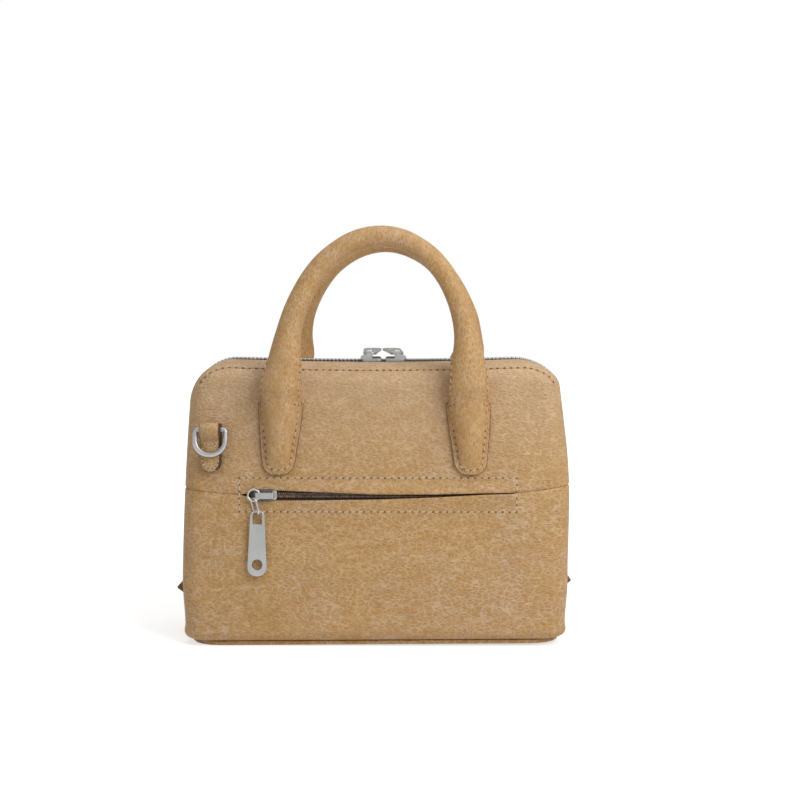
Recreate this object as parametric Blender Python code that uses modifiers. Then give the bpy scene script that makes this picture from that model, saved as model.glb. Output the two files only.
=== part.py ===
"""Small leather satchel: two rolled handles, a zip over the top and a zip pocket in front.

The front faces -Y, the base stands on Z = 0, and the top zip runs in the plane Y = 0.
Lengths are in metres.
"""
import math

import bmesh
import bpy
from mathutils import Matrix, Vector

# Body outline
BODY_WIDTH = 0.2242
SHOULDER_WIDTH = 0.2172
BODY_HEIGHT = 0.165
BASE_DEPTH = 0.084
SHOULDER_DEPTH = 0.054
WIDEST_HEIGHT = 0.031
TOP_CORNER_RADIUS = 0.0265
SHOULDER_HEIGHT = 0.014
SIDE_FOLD_RADIUS = 0.012
BASE_FOLD_RADIUS = 0.0065
FACE_BULGE = 0.0015
BULGE_FADE = 0.018
SEAM_HEIGHT = 0.0873
SPREAD_DROP = 0.022
SPREAD_FADE = 0.015

# Leather, lining and clearances
LEATHER = 0.0018
CLEARANCE = 0.0003
BASE_THICKNESS = 0.0024
BASE_INSET = 0.0015
BASE_CORNER_RADIUS = 0.018
BOARD_THICKNESS = 0.0020
LINING = 0.0008
LINING_SLACK = 0.0005
LINING_EDGE = 0.0085
SLIP_POCKET_WIDTH = 0.124
SLIP_POCKET_TOP = 0.112
SLIP_POCKET_BOTTOM = 0.036

# Top zip
ZIP_EDGE = 0.0062
ZIP_END_HEIGHT = 0.034
ZIP_END_FADE = 0.010
TEETH_START_LIFT = 0.007
TAPE = 0.0006
TAPE_WIDTH = 0.0090
ROW_GAP = 0.0009
ROW_WIDTH = 0.0023
TOOTH_DEPTH = 0.0008
TOOTH_HEIGHT = 0.0018
TOOTH_PITCH = 0.0056
END_TAB_REACH = 0.0070
END_TAB_HEIGHT = 0.0108
END_TAB_WIDTH = 0.020
END_TAB_ROUND = 0.0008

# Top sliders and their pullers
SLIDER_LENGTH = 0.0132
SLIDER_PLATE = 0.0012
SLIDER_FLANGE = 0.0009
SLIDER_WEB = 0.0003
SLIDER_CORNER_RADIUS = 0.0026
SLIDER_SPACING = 0.0140
# The two top sliders meet a little right of the middle
SLIDER_MEETING = 0.0045
BAIL_SPAN = 0.0064
BAIL_RISE = 0.0042
BAIL_BAR_RISE = 0.0015
BAIL_WIRE = 0.0013
BAIL_WIDTH = 0.0032
BAIL_ROUND = 0.0017
BAIL_OFFSET = 0.0012
PULLER_TILT = math.radians(9.0)

# Puller plates
PLATE_LENGTH = 0.0376
PLATE_WIDTH = 0.0116
PLATE_TOP_WIDTH = 0.0084
PLATE_THICKNESS = 0.0014
PLATE_BAR = 0.0013
PLATE_WINDOW_WIDTH = 0.0054
PLATE_WINDOW_HEIGHT = 0.0066
PLATE_WINDOW_ROUND = 0.0008
PLATE_TOP_ROUND = 0.0034
PLATE_HOLE_RADIUS = 0.0030
PLATE_HOLE_HEIGHT = 0.0066

# Front zip pocket
POCKET_SHIFT = 0.0025
POCKET_HALF = 0.0778
SLOT_HALF = 0.0034
SLOT_FADE = 0.0045
POCKET_ROW_GAP = 0.0009
POCKET_ROW_WIDTH = 0.0016
POCKET_TOOTH_DEPTH = 0.0006
POCKET_TOOTH_HEIGHT = 0.0013
POCKET_TOOTH_PITCH = 0.0040
POCKET_TAPE_WIDTH = 0.0095
POCKET_TAPE_INSET = 0.0022
POCKET_SLIDER_LENGTH = 0.0132
POCKET_SLIDER_HALF = 0.0031
POCKET_SLIDER_PLATE = 0.0010
POCKET_SLIDER_FLANGE = 0.0007
POCKET_SLIDER_CORNER = 0.0018
POCKET_SLIDER_START = 0.0654
BRIDGE_LENGTH = 0.0108
BRIDGE_WIDTH = 0.0030
BRIDGE_RISE = 0.0034
BRIDGE_ROUND = 0.0010
BRIDGE_HOLE_LENGTH = 0.0026
BRIDGE_HOLE_RISE = 0.0027
BRIDGE_HOLE_INSET = 0.0024
POUCH_FABRIC = 0.0005
POUCH_ROOM = 0.0010
POUCH_BOTTOM = 0.030
POUCH_HALF = 0.070

# Pull ring and link
RING_RADIUS = 0.0033
RING_WIRE_RADIUS = 0.0006
LINK_LENGTH = 0.0104
LINK_WIDTH = 0.0052
LINK_WIRE_RADIUS = 0.00055
LINK_TURN = math.radians(-45.0)
LINK_PLAY = 0.00032
LINK_BAR_RISE = 0.00135

# Handles
HANDLE_SPREAD = 0.0522
HANDLE_RISE = 0.0723
HANDLE_SPRING_DROP = 0.002
HANDLE_HINGE_DROP = 0.0127
HANDLE_FLARE = 0.0016
HANDLE_OUT = 0.0362
HANDLE_LEAN = 0.0050
HANDLE_BASE_RADIUS = 0.0087
HANDLE_TOP_RADIUS = 0.0062
HANDLE_LEATHER = 0.0015
HANDLE_MOUTH_RADIUS = 0.0020
TAB_WIDTH = 0.0260
TAB_TIP_WIDTH = 0.0190
TAB_SEAM_GAP = 0.0117
TAB_TIP_LENGTH = 0.0085
TAB_THICKNESS = 0.0020
TAB_ROLL_HALF = 0.0080
TAB_ROLL_RISE = 0.0118
TAB_ROLL_TIP_RISE = 0.0030

# D-rings and their tabs
DRING_OFFSET = 0.0940
DRING_BAR_HEIGHT = 0.1243
DRING_HALF = 0.0087
DRING_DROP = 0.0145
DRING_WIRE_RADIUS = 0.0012
DRING_CORNER = 0.0016
DRING_TILT = math.radians(5.5)
RING_TAB_WIDTH = 0.0123
RING_TAB_LENGTH = 0.0240
RING_TAB_THICKNESS = 0.0030
RING_TAB_LOOP_RADIUS = 0.0042
RING_TAB_PLAY = 0.00035
CUT_OVERRUN = 0.002

# Mesh counts
FRONT_COLUMNS = 4
FOLD_COLUMNS = 4
SIDE_COLUMNS = 2
FOLD_ROWS = 3
LOWER_ROWS = 4
UPPER_ROWS = 4
CORNER_ROWS = 6
HANDLE_SIDES = 10
CORE_SIDES = 8
ARCH_STEPS = 16
END_STEPS = 3
WIRE_SIDES = 6
ROUND_STEPS = 5

# Colours: red, green, blue, roughness, metallic
FINISHES = {
    "tan_leather": ((0.50, 0.31, 0.16), 0.55, 0.0),
    "edge_leather": ((0.12, 0.06, 0.035), 0.6, 0.0),
    "brown_tape": ((0.055, 0.030, 0.020), 0.8, 0.0),
    "nickel": ((0.72, 0.72, 0.72), 0.25, 1.0),
    "coil": ((0.06, 0.035, 0.03), 0.5, 0.0),
    "lining_cloth": ((0.25, 0.17, 0.10), 0.9, 0.0),
    "board": ((0.18, 0.16, 0.14), 0.9, 0.0),
    "cord_core": ((0.60, 0.55, 0.46), 0.9, 0.0),
}

FRONT = -1
BACK = 1
LEFT = -1
RIGHT = 1
MERGE = 0.00001

# Places that follow the body's height
HANDLE_SPRING_HEIGHT = BODY_HEIGHT - HANDLE_SPRING_DROP
HANDLE_HINGE_HEIGHT = BODY_HEIGHT - HANDLE_HINGE_DROP
TAB_BOTTOM = SEAM_HEIGHT + TAB_SEAM_GAP
TAB_TOP = HANDLE_HINGE_HEIGHT - HANDLE_BASE_RADIUS - CLEARANCE

# Heights of the stacked layers at the base
SHELL_BOTTOM = BASE_THICKNESS + CLEARANCE
BOARD_BOTTOM = BASE_THICKNESS + CLEARANCE
LINING_BOTTOM = BOARD_BOTTOM + BOARD_THICKNESS + CLEARANCE
TEETH_START = ZIP_END_HEIGHT + TEETH_START_LIFT
LINING_INSET = LEATHER + 2.0 * CLEARANCE + TAPE + LINING_SLACK
SHOULDER_START = BODY_HEIGHT - SHOULDER_HEIGHT
SPREAD_START = BODY_HEIGHT - SPREAD_DROP
CORNER_START = BODY_HEIGHT - TOP_CORNER_RADIUS
ZIP_TAPE_INSET = LEATHER + 2.0 * CLEARANCE
POUCH_INSET = POCKET_TAPE_INSET + TAPE + CLEARANCE
POCKET_LOWER_PLATE_INSET = POCKET_TAPE_INSET + TAPE + CLEARANCE
POUCH_BACK_INSET = POCKET_LOWER_PLATE_INSET + POCKET_SLIDER_PLATE + CLEARANCE
FRONT_LINING_INSET = POUCH_BACK_INSET + POUCH_FABRIC + LINING_SLACK


def clear_scene():
    for item in list(bpy.data.objects):
        bpy.data.objects.remove(item, do_unlink=True)


def make_collection(name):
    collection = bpy.data.collections.new(name)
    bpy.context.scene.collection.children.link(collection)
    return collection


def make_materials():
    made = {}
    for name, (colour, roughness, metallic) in FINISHES.items():
        material = bpy.data.materials.new(name)
        material.use_nodes = True
        shader = material.node_tree.nodes["Principled BSDF"]
        shader.inputs["Base Color"].default_value = (*colour, 1.0)
        shader.inputs["Roughness"].default_value = roughness
        shader.inputs["Metallic"].default_value = metallic
        made[name] = material
    return made


clear_scene()
PARTS = make_collection("satchel")
CUTTERS = make_collection("cutters")
MATERIALS = make_materials()


# Shared mesh helpers

def smooth(value):
    """Ease from 0 to 1."""
    value = max(0.0, min(1.0, value))
    return value * value * (3.0 - 2.0 * value)


def blend(start, end, share):
    return start + (end - start) * share


def shade_round(mesh):
    mesh.shade_smooth()
    mesh.set_sharp_from_angle(angle=math.radians(35.0))


def add_part(name, mesh, finish, matrix=None, parent=None):
    """Link a mesh as one named piece of the bag."""
    part = bpy.data.objects.new(name, mesh)
    PARTS.objects.link(part)
    mesh.materials.clear()
    mesh.materials.append(MATERIALS[finish])
    if parent is not None:
        part.parent = parent
    if matrix is not None:
        part.matrix_local = matrix
    shade_round(mesh)
    return part


def add_empty(name, matrix, parent=None):
    """Link a frame that pieces hang from."""
    empty = bpy.data.objects.new(name, None)
    PARTS.objects.link(empty)
    if parent is not None:
        empty.parent = parent
    empty.matrix_local = matrix
    return empty


def add_cutter(name, mesh, parent, matrix=None):
    cutter = bpy.data.objects.new(name, mesh)
    CUTTERS.objects.link(cutter)
    cutter.parent = parent
    if matrix is not None:
        cutter.matrix_local = matrix
    cutter.hide_render = True
    cutter.display_type = "WIRE"
    return cutter


def boolean(part, cutter, operation):
    modifier = part.modifiers.new(operation.lower(), "BOOLEAN")
    modifier.object = cutter
    modifier.operation = operation
    modifier.solver = "EXACT"


def wall(part, thickness):
    """Give an open surface its thickness on the inner side."""
    modifier = part.modifiers.new("wall", "SOLIDIFY")
    modifier.thickness = thickness
    modifier.offset = -1.0
    modifier.use_even_offset = True


def finish_mesh(name, mesh_data):
    mesh = bpy.data.meshes.new(name)
    mesh_data.to_mesh(mesh)
    mesh_data.free()
    return mesh


def grid_mesh(name, rows, flip=False):
    """Skin a grid of points, row above row."""
    data = bmesh.new()
    lines = [[data.verts.new(point) for point in row] for row in rows]
    for lower, upper in zip(lines, lines[1:]):
        for column in range(len(lower) - 1):
            corners = [lower[column], lower[column + 1], upper[column + 1], upper[column]]
            if flip:
                corners.reverse()
            data.faces.new(corners)
    return finish_mesh(name, data)


def ring_mesh(name, rings, capped=True, looped=False):
    """Skin closed rings into a tube."""
    data = bmesh.new()
    loops = [[data.verts.new(point) for point in ring] for ring in rings]
    pairs = list(zip(loops, loops[1:]))
    if looped:
        pairs.append((loops[-1], loops[0]))
    for near, far in pairs:
        for index in range(len(near)):
            following = (index + 1) % len(near)
            data.faces.new([near[index], near[following], far[following], far[index]])
    if capped and not looped:
        data.faces.new(list(reversed(loops[0])))
        data.faces.new(loops[-1])
        bmesh.ops.recalc_face_normals(data, faces=data.faces[:])
    if looped:
        bmesh.ops.recalc_face_normals(data, faces=data.faces[:])
    return finish_mesh(name, data)


def rounded_loop(corners, radii, steps=ROUND_STEPS):
    """Round the corners of a plane outline with arcs."""
    loop = []
    count = len(corners)
    for index, corner in enumerate(corners):
        here = Vector(corner)
        before = (Vector(corners[index - 1]) - here).normalized()
        after = (Vector(corners[(index + 1) % count]) - here).normalized()
        radius = radii[index]
        if radius <= 0.0:
            loop.append(here)
            continue
        half = before.angle(after) / 2.0
        reach = radius / math.tan(half)
        centre = here + (before + after).normalized() * (radius / math.sin(half))
        start = here + before * reach - centre
        turn = (here + after * reach - centre).angle_signed(start)
        for step in range(steps + 1):
            angle = turn * step / steps
            spun = Vector((
                start.x * math.cos(angle) - start.y * math.sin(angle),
                start.x * math.sin(angle) + start.y * math.cos(angle),
            ))
            loop.append(centre + spun)
    return loop


def circle_loop(centre, radius, steps):
    angles = [2.0 * math.pi * step / steps for step in range(steps)]
    return [Vector((centre[0] + radius * math.cos(a), centre[1] + radius * math.sin(a))) for a in angles]


def outline_mesh(name, loops, thickness):
    """Fill a flat outline, holes included, and give it a thickness about its own plane."""
    curve = bpy.data.curves.new(name, "CURVE")
    curve.dimensions = "2D"
    curve.fill_mode = "BOTH"
    curve.extrude = thickness / 2.0
    for loop in loops:
        spline = curve.splines.new("POLY")
        spline.points.add(len(loop) - 1)
        for point, place in zip(spline.points, loop):
            point.co = (place.x, place.y, 0.0, 1.0)
        spline.use_cyclic_u = True
    return curve_to_mesh(name, curve)


def wire_mesh(name, path, radius, resolution=1):
    """Sweep a round wire along a closed path."""
    curve = bpy.data.curves.new(name, "CURVE")
    curve.dimensions = "3D"
    curve.bevel_depth = radius
    curve.bevel_resolution = resolution
    spline = curve.splines.new("POLY")
    spline.points.add(len(path) - 1)
    for point, place in zip(spline.points, path):
        point.co = (*place, 1.0)
    spline.use_cyclic_u = True
    return curve_to_mesh(name, curve)


def curve_to_mesh(name, curve):
    source = bpy.data.objects.new(name + "_curve", curve)
    CUTTERS.objects.link(source)
    graph = bpy.context.evaluated_depsgraph_get()
    mesh = bpy.data.meshes.new_from_object(source.evaluated_get(graph))
    bpy.data.objects.remove(source, do_unlink=True)
    data = bmesh.new()
    data.from_mesh(mesh)
    bmesh.ops.remove_doubles(data, verts=data.verts[:], dist=MERGE)
    bmesh.ops.recalc_face_normals(data, faces=data.faces[:])
    data.to_mesh(mesh)
    data.free()
    mesh.name = name
    return mesh


def box_mesh(name, low, high):
    data = bmesh.new()
    bmesh.ops.create_cube(data, size=1.0)
    size = Vector(high) - Vector(low)
    centre = (Vector(high) + Vector(low)) / 2.0
    bmesh.ops.scale(data, vec=size, verts=data.verts[:])
    bmesh.ops.translate(data, vec=centre, verts=data.verts[:])
    return finish_mesh(name, data)


def rod_mesh(name, radius, length, sides):
    """A rod along X, centred on its origin."""
    data = bmesh.new()
    turn = Matrix.Rotation(math.pi / 2.0, 4, "Y")
    bmesh.ops.create_cone(
        data, cap_ends=True, segments=sides, radius1=radius, radius2=radius, depth=length, matrix=turn
    )
    return finish_mesh(name, data)


# The body's shape

def side_half(height):
    """Half the body's width at a height, its corners left square."""
    share = (height - WIDEST_HEIGHT) / (CORNER_START - WIDEST_HEIGHT)
    share = max(0.0, min(1.0, share))
    return BODY_WIDTH / 2.0 - (BODY_WIDTH - SHOULDER_WIDTH) / 2.0 * share * share


def depth_half(height):
    """Half the body's depth at a height, its shoulder left square."""
    share = height / SHOULDER_START
    return blend(BASE_DEPTH, SHOULDER_DEPTH, share) / 2.0


def edge_at(height, edge):
    """How far the leather's edge lies from the middle plane: open along the zip, shut below it."""
    share = smooth((height - ZIP_END_HEIGHT) / ZIP_END_FADE)
    return blend(CLEARANCE / 2.0, edge, share)


def level_size(height, inset, edge):
    """Half width and half depth of the body at a height, an inset below its skin."""
    width = side_half(min(height, CORNER_START)) - inset
    depth = depth_half(min(height, SHOULDER_START)) - inset
    if height > CORNER_START:
        radius = TOP_CORNER_RADIUS - inset
        rise = min(height - CORNER_START, radius)
        width += math.sqrt(radius * radius - rise * rise) - radius
    if height > SHOULDER_START:
        share = min((height - SHOULDER_START) / (SHOULDER_HEIGHT - inset), 1.0)
        depth = edge + (depth - edge) * math.sqrt(1.0 - share * share)
    fold_top = SHELL_BOTTOM + BASE_FOLD_RADIUS
    if height < fold_top:
        radius = BASE_FOLD_RADIUS - inset
        drop = min(fold_top - height, radius)
        tuck = radius - math.sqrt(radius * radius - drop * drop)
        width -= tuck
        depth -= tuck
    return width, depth


def fold_radius(depth, inset, edge):
    return max(min(SIDE_FOLD_RADIUS - inset, depth - edge), 0.0)


def skin_runs(height, inset, edge):
    """Lengths of the skin's three runs at a height: the flat face, the fold and the side."""
    width, depth = level_size(height, inset, edge)
    radius = fold_radius(depth, inset, edge)
    return width - radius, math.pi / 2.0 * radius, depth - radius - edge


def bulge(x, height, straight):
    fade = smooth((straight - abs(x)) / BULGE_FADE)
    return FACE_BULGE * math.sin(math.pi * height / BODY_HEIGHT) * fade


def column_place(column, height, inset, edge):
    """How far along the skin a column stands at a height: by its run, or by length near the top."""
    run, part, share = column
    runs = skin_runs(height, inset, edge)
    by_run = sum(runs[:run]) + runs[run] * part
    by_length = share * sum(runs)
    return blend(by_run, by_length, smooth((height - SPREAD_START) / SPREAD_FADE))


def skin_point(column, sign, height, inset, edge, side):
    """A point of the skin in one of its columns, on the left or right half."""
    width, depth = level_size(height, inset, edge)
    radius = fold_radius(depth, inset, edge)
    straight, arc, rest = skin_runs(height, inset, edge)
    along = column_place(column, height, inset, edge)
    if along <= straight:
        x = along
        out = depth + bulge(x, height, straight)
    elif along < straight + arc:
        angle = (along - straight) / radius
        x = straight + radius * math.sin(angle)
        out = depth - radius + radius * math.cos(angle)
    else:
        x = width
        part = (along - straight - arc) / rest if rest > 0.0 else 1.0
        out = blend(depth - radius, edge_at(height, edge), part)
    return Vector((sign * x, side * out, height))


def face_out(height, inset=0.0):
    """How far the flat of the face lies from the middle plane."""
    depth = level_size(height, inset, ZIP_EDGE)[1]
    return depth + FACE_BULGE * math.sin(math.pi * height / BODY_HEIGHT)


def face_lean(height):
    """Angle of the face from upright at a height."""
    step = CLEARANCE
    return math.atan((face_out(height - step) - face_out(height + step)) / (2.0 * step))


def half_columns(inset, edge):
    """Columns from the middle of the face out to the zip: run, part of the run, part of the whole."""
    runs = skin_runs(SEAM_HEIGHT, inset, edge)
    places = [POCKET_HALF * step / FRONT_COLUMNS for step in range(FRONT_COLUMNS + 1)]
    places.append(POCKET_HALF + SLOT_FADE)
    places.append((POCKET_HALF + SLOT_FADE + runs[0]) / 2.0)
    found = [(0, place / runs[0]) for place in places]
    found += [(1, step / FOLD_COLUMNS) for step in range(FOLD_COLUMNS + 1)]
    found += [(2, (step + 1) / SIDE_COLUMNS) for step in range(SIDE_COLUMNS)]
    columns = []
    for run, part in found:
        share = (sum(runs[:run]) + runs[run] * part) / sum(runs)
        columns.append((run, part, share))
    return columns


def all_columns(inset, edge):
    """Columns of the whole skin from its left zip edge to its right one, each with its sign."""
    half = half_columns(inset, edge)
    left = [(column, LEFT) for column in reversed(half[1:])]
    return left + [(column, RIGHT) for column in half]


def fold_levels(inset, bottom):
    """Heights up the rounded fold at the base."""
    top = SHELL_BOTTOM + BASE_FOLD_RADIUS
    radius = BASE_FOLD_RADIUS - inset
    low = max(bottom, top - radius)
    first = math.acos(min((top - low) / radius, 1.0))
    angles = [blend(first, math.pi / 2.0, step / FOLD_ROWS) for step in range(FOLD_ROWS + 1)]
    return [top - radius * math.cos(angle) for angle in angles]


def lower_levels(inset, bottom, top):
    start = SHELL_BOTTOM + BASE_FOLD_RADIUS
    rest = [blend(start, top, (step + 1) / LOWER_ROWS) for step in range(LOWER_ROWS)]
    return fold_levels(inset, bottom) + rest


def upper_levels(inset, bottom):
    rise = [blend(bottom, CORNER_START, step / UPPER_ROWS) for step in range(UPPER_ROWS)]
    radius = TOP_CORNER_RADIUS - inset
    angles = [math.pi / 2.0 * step / CORNER_ROWS for step in range(CORNER_ROWS + 1)]
    return rise + [CORNER_START + radius * math.sin(angle) for angle in angles]


def skin_rows(levels, inset, edge, side, slot=None):
    """Rows of the skin, the seam row drawn back from the zip slot where there is one."""
    rows = []
    for height in levels:
        row = []
        for column, sign in all_columns(inset, edge):
            level = height
            if height == slot:
                seam_x = column_place(column, SEAM_HEIGHT, inset, edge)
                opened = 1.0 - smooth((seam_x - POCKET_HALF) / SLOT_FADE)
                shift = (SLOT_HALF - CLEARANCE / 2.0) * opened
                level = height + math.copysign(shift, height - SEAM_HEIGHT)
            row.append(skin_point(column, sign, level, inset, edge, side))
        rows.append(row)
    return rows


def make_panel(name, levels, side, slot=None):
    rows = skin_rows(levels, 0.0, ZIP_EDGE, side, slot)
    panel = add_part(name, grid_mesh(name, rows, flip=side == BACK), "tan_leather")
    wall(panel, LEATHER)


def make_panels():
    below_seam = SEAM_HEIGHT - CLEARANCE / 2.0
    above_seam = SEAM_HEIGHT + CLEARANCE / 2.0
    lower = lower_levels(0.0, SHELL_BOTTOM, below_seam)
    upper = upper_levels(0.0, above_seam)
    make_panel("front_lower_panel", lower, FRONT, slot=below_seam)
    make_panel("front_upper_panel", upper, FRONT, slot=above_seam)
    make_panel("back_lower_panel", lower, BACK)
    make_panel("back_upper_panel", upper, BACK)


def rounded_plate(name, half_x, half_y, radius, bottom, thickness, finish):
    corners = [(-half_x, -half_y), (half_x, -half_y), (half_x, half_y), (-half_x, half_y)]
    loop = rounded_loop(corners, [radius] * len(corners))
    mesh = outline_mesh(name, [loop], thickness)
    add_part(name, mesh, finish, Matrix.Translation((0.0, 0.0, bottom + thickness / 2.0)))


def make_base():
    width, depth = level_size(SHELL_BOTTOM, 0.0, ZIP_EDGE)
    rounded_plate(
        "base_panel", width + BASE_INSET, depth + BASE_INSET, BASE_CORNER_RADIUS, 0.0,
        BASE_THICKNESS, "tan_leather",
    )
    board_x = width - LEATHER
    board_y = depth - LEATHER
    rounded_plate(
        "base_board", board_x, board_y, BASE_CORNER_RADIUS, BOARD_BOTTOM, BOARD_THICKNESS, "board"
    )


def make_lining(name, side, inset):
    """One half of the cloth lining, hung inside its leather half."""
    bottom = LINING_BOTTOM + LINING + CLEARANCE
    levels = lower_levels(inset, bottom, SEAM_HEIGHT) + upper_levels(inset, SEAM_HEIGHT)[1:]
    rows = skin_rows(levels, inset, LINING_EDGE, side)
    lining = add_part(name, grid_mesh(name, rows, flip=side == BACK), "lining_cloth")
    wall(lining, LINING)


def make_linings():
    make_lining("front_lining", FRONT, FRONT_LINING_INSET)
    make_lining("back_lining", BACK, LINING_INSET)
    width, depth = level_size(SHELL_BOTTOM, 0.0, ZIP_EDGE)
    rounded_plate(
        "base_lining", width - LEATHER, depth - LEATHER, BASE_CORNER_RADIUS, LINING_BOTTOM, LINING,
        "lining_cloth",
    )


def make_slip_pocket():
    """A flat cloth pocket inside, against the back lining."""
    inset = LINING_INSET + LINING + CLEARANCE
    rows = []
    for step in range(LOWER_ROWS + 1):
        height = blend(SLIP_POCKET_BOTTOM, SLIP_POCKET_TOP, step / LOWER_ROWS)
        out = face_out(height) - inset
        rows.append([Vector((x, out, height)) for x in (-SLIP_POCKET_WIDTH / 2.0, SLIP_POCKET_WIDTH / 2.0)])
    pocket = add_part("slip_pocket", grid_mesh("slip_pocket", rows, flip=True), "lining_cloth")
    wall(pocket, LINING)


# The top zip

def arch_path(inset, start):
    """The run of the top zip in the middle plane, from its left end over the top to its right end."""
    right = []
    for step in range(UPPER_ROWS * 2):
        height = blend(start, CORNER_START, step / (UPPER_ROWS * 2))
        right.append(Vector((side_half(height) - inset, 0.0, height)))
    radius = TOP_CORNER_RADIUS - inset
    centre_x = side_half(CORNER_START) - TOP_CORNER_RADIUS
    for step in range(CORNER_ROWS + 1):
        angle = math.pi / 2.0 * step / CORNER_ROWS
        place = (centre_x + radius * math.cos(angle), 0.0, CORNER_START + radius * math.sin(angle))
        right.append(Vector(place))
    left = [Vector((-point.x, point.y, point.z)) for point in right]
    return left + list(reversed(right))


def resample(path, pitch):
    """Points an even pitch apart along a path, each with its direction."""
    lengths = [(end - start).length for start, end in zip(path, path[1:])]
    count = max(int(sum(lengths) / pitch), 1)
    step = sum(lengths) / count
    points = []
    leg = 0
    passed = 0.0
    for index in range(count + 1):
        want = min(index * step, sum(lengths))
        while leg < len(lengths) - 1 and passed + lengths[leg] < want:
            passed += lengths[leg]
            leg += 1
        direction = (path[leg + 1] - path[leg]).normalized()
        points.append((path[leg] + direction * (want - passed), direction))
    return points


def outward(direction):
    """Square to the zip's run, pointing away from the bag."""
    return Vector((-direction.z, 0.0, direction.x))


def smooth_directions(points):
    """Turn each point's direction to that of the line between its neighbours."""
    turned = []
    for index, (place, _) in enumerate(points):
        before = points[max(index - 1, 0)][0]
        after = points[min(index + 1, len(points) - 1)][0]
        turned.append((place, (after - before).normalized()))
    return turned


def make_tape(name, side):
    path = smooth_directions([(point, None) for point in arch_path(ZIP_TAPE_INSET, ZIP_END_HEIGHT)])
    rings = []
    for place, direction in path:
        normal = outward(direction)
        near = Vector((0.0, side * ROW_GAP / 2.0, 0.0))
        far = Vector((0.0, side * TAPE_WIDTH, 0.0))
        rings.append([
            place + near, place + far, place + far - normal * TAPE, place + near - normal * TAPE
        ])
    add_part(name, ring_mesh(name, rings), "brown_tape")


def make_teeth(name, side):
    """A row of teeth on the tape, its inner edge stepping in and out."""
    points = smooth_directions(resample(arch_path(ZIP_TAPE_INSET, TEETH_START), TOOTH_PITCH / 2.0))
    rings = []
    for index, (place, direction) in enumerate(points):
        normal = outward(direction)
        gap = ROW_GAP / 2.0 + (TOOTH_DEPTH if index % 2 == (side == FRONT) else 0.0)
        near = Vector((0.0, side * gap, 0.0))
        far = Vector((0.0, side * (ROW_GAP / 2.0 + ROW_WIDTH), 0.0))
        low = place + normal * CLEARANCE
        high = low + normal * TOOTH_HEIGHT
        rings.append([high + near, high + far, low + far, low + near])
    add_part(name, ring_mesh(name, rings), "nickel")


def make_end_tab(name, side):
    """The leather wedge at the zip's end, standing out from the side."""
    half = END_TAB_HEIGHT / 2.0
    tip_height = ZIP_END_HEIGHT - half
    wall_x = side_half(WIDEST_HEIGHT) + CLEARANCE
    corners = [(0.0, -half), (END_TAB_REACH, 0.0), (0.0, half)]
    loop = rounded_loop(corners, [END_TAB_ROUND, END_TAB_ROUND, END_TAB_ROUND], steps=2)
    mesh = outline_mesh(name, [loop], END_TAB_WIDTH)
    upright = Matrix.Rotation(math.pi / 2.0, 4, "X")
    turn = Matrix.Rotation(math.pi, 4, "Z") if side == LEFT else Matrix.Identity(4)
    add_part(name, mesh, "edge_leather", Matrix.Translation((side * wall_x, 0.0, tip_height)) @ turn @ upright)


def channel_loop(half, gap, plate, flange, web, tooth_top, below):
    """Section of a slider: a flanged top plate, a thin post and a lower plate."""
    top = tooth_top + gap
    lower = -(below + gap)
    right = [
        (half, top + plate), (half, gap), (half - flange, gap), (half - flange, top),
        (web / 2.0, top), (web / 2.0, lower), (half, lower), (half, lower - plate),
    ]
    left = [(-x, z) for x, z in reversed(right)]
    return [Vector(point) for point in right + left]


def slider_mesh(name, length, loop):
    mesh = outline_mesh(name, [loop], length)
    mesh.transform(Matrix.Rotation(math.pi / 2.0, 4, "Z") @ Matrix.Rotation(math.pi / 2.0, 4, "X"))
    return mesh


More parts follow.
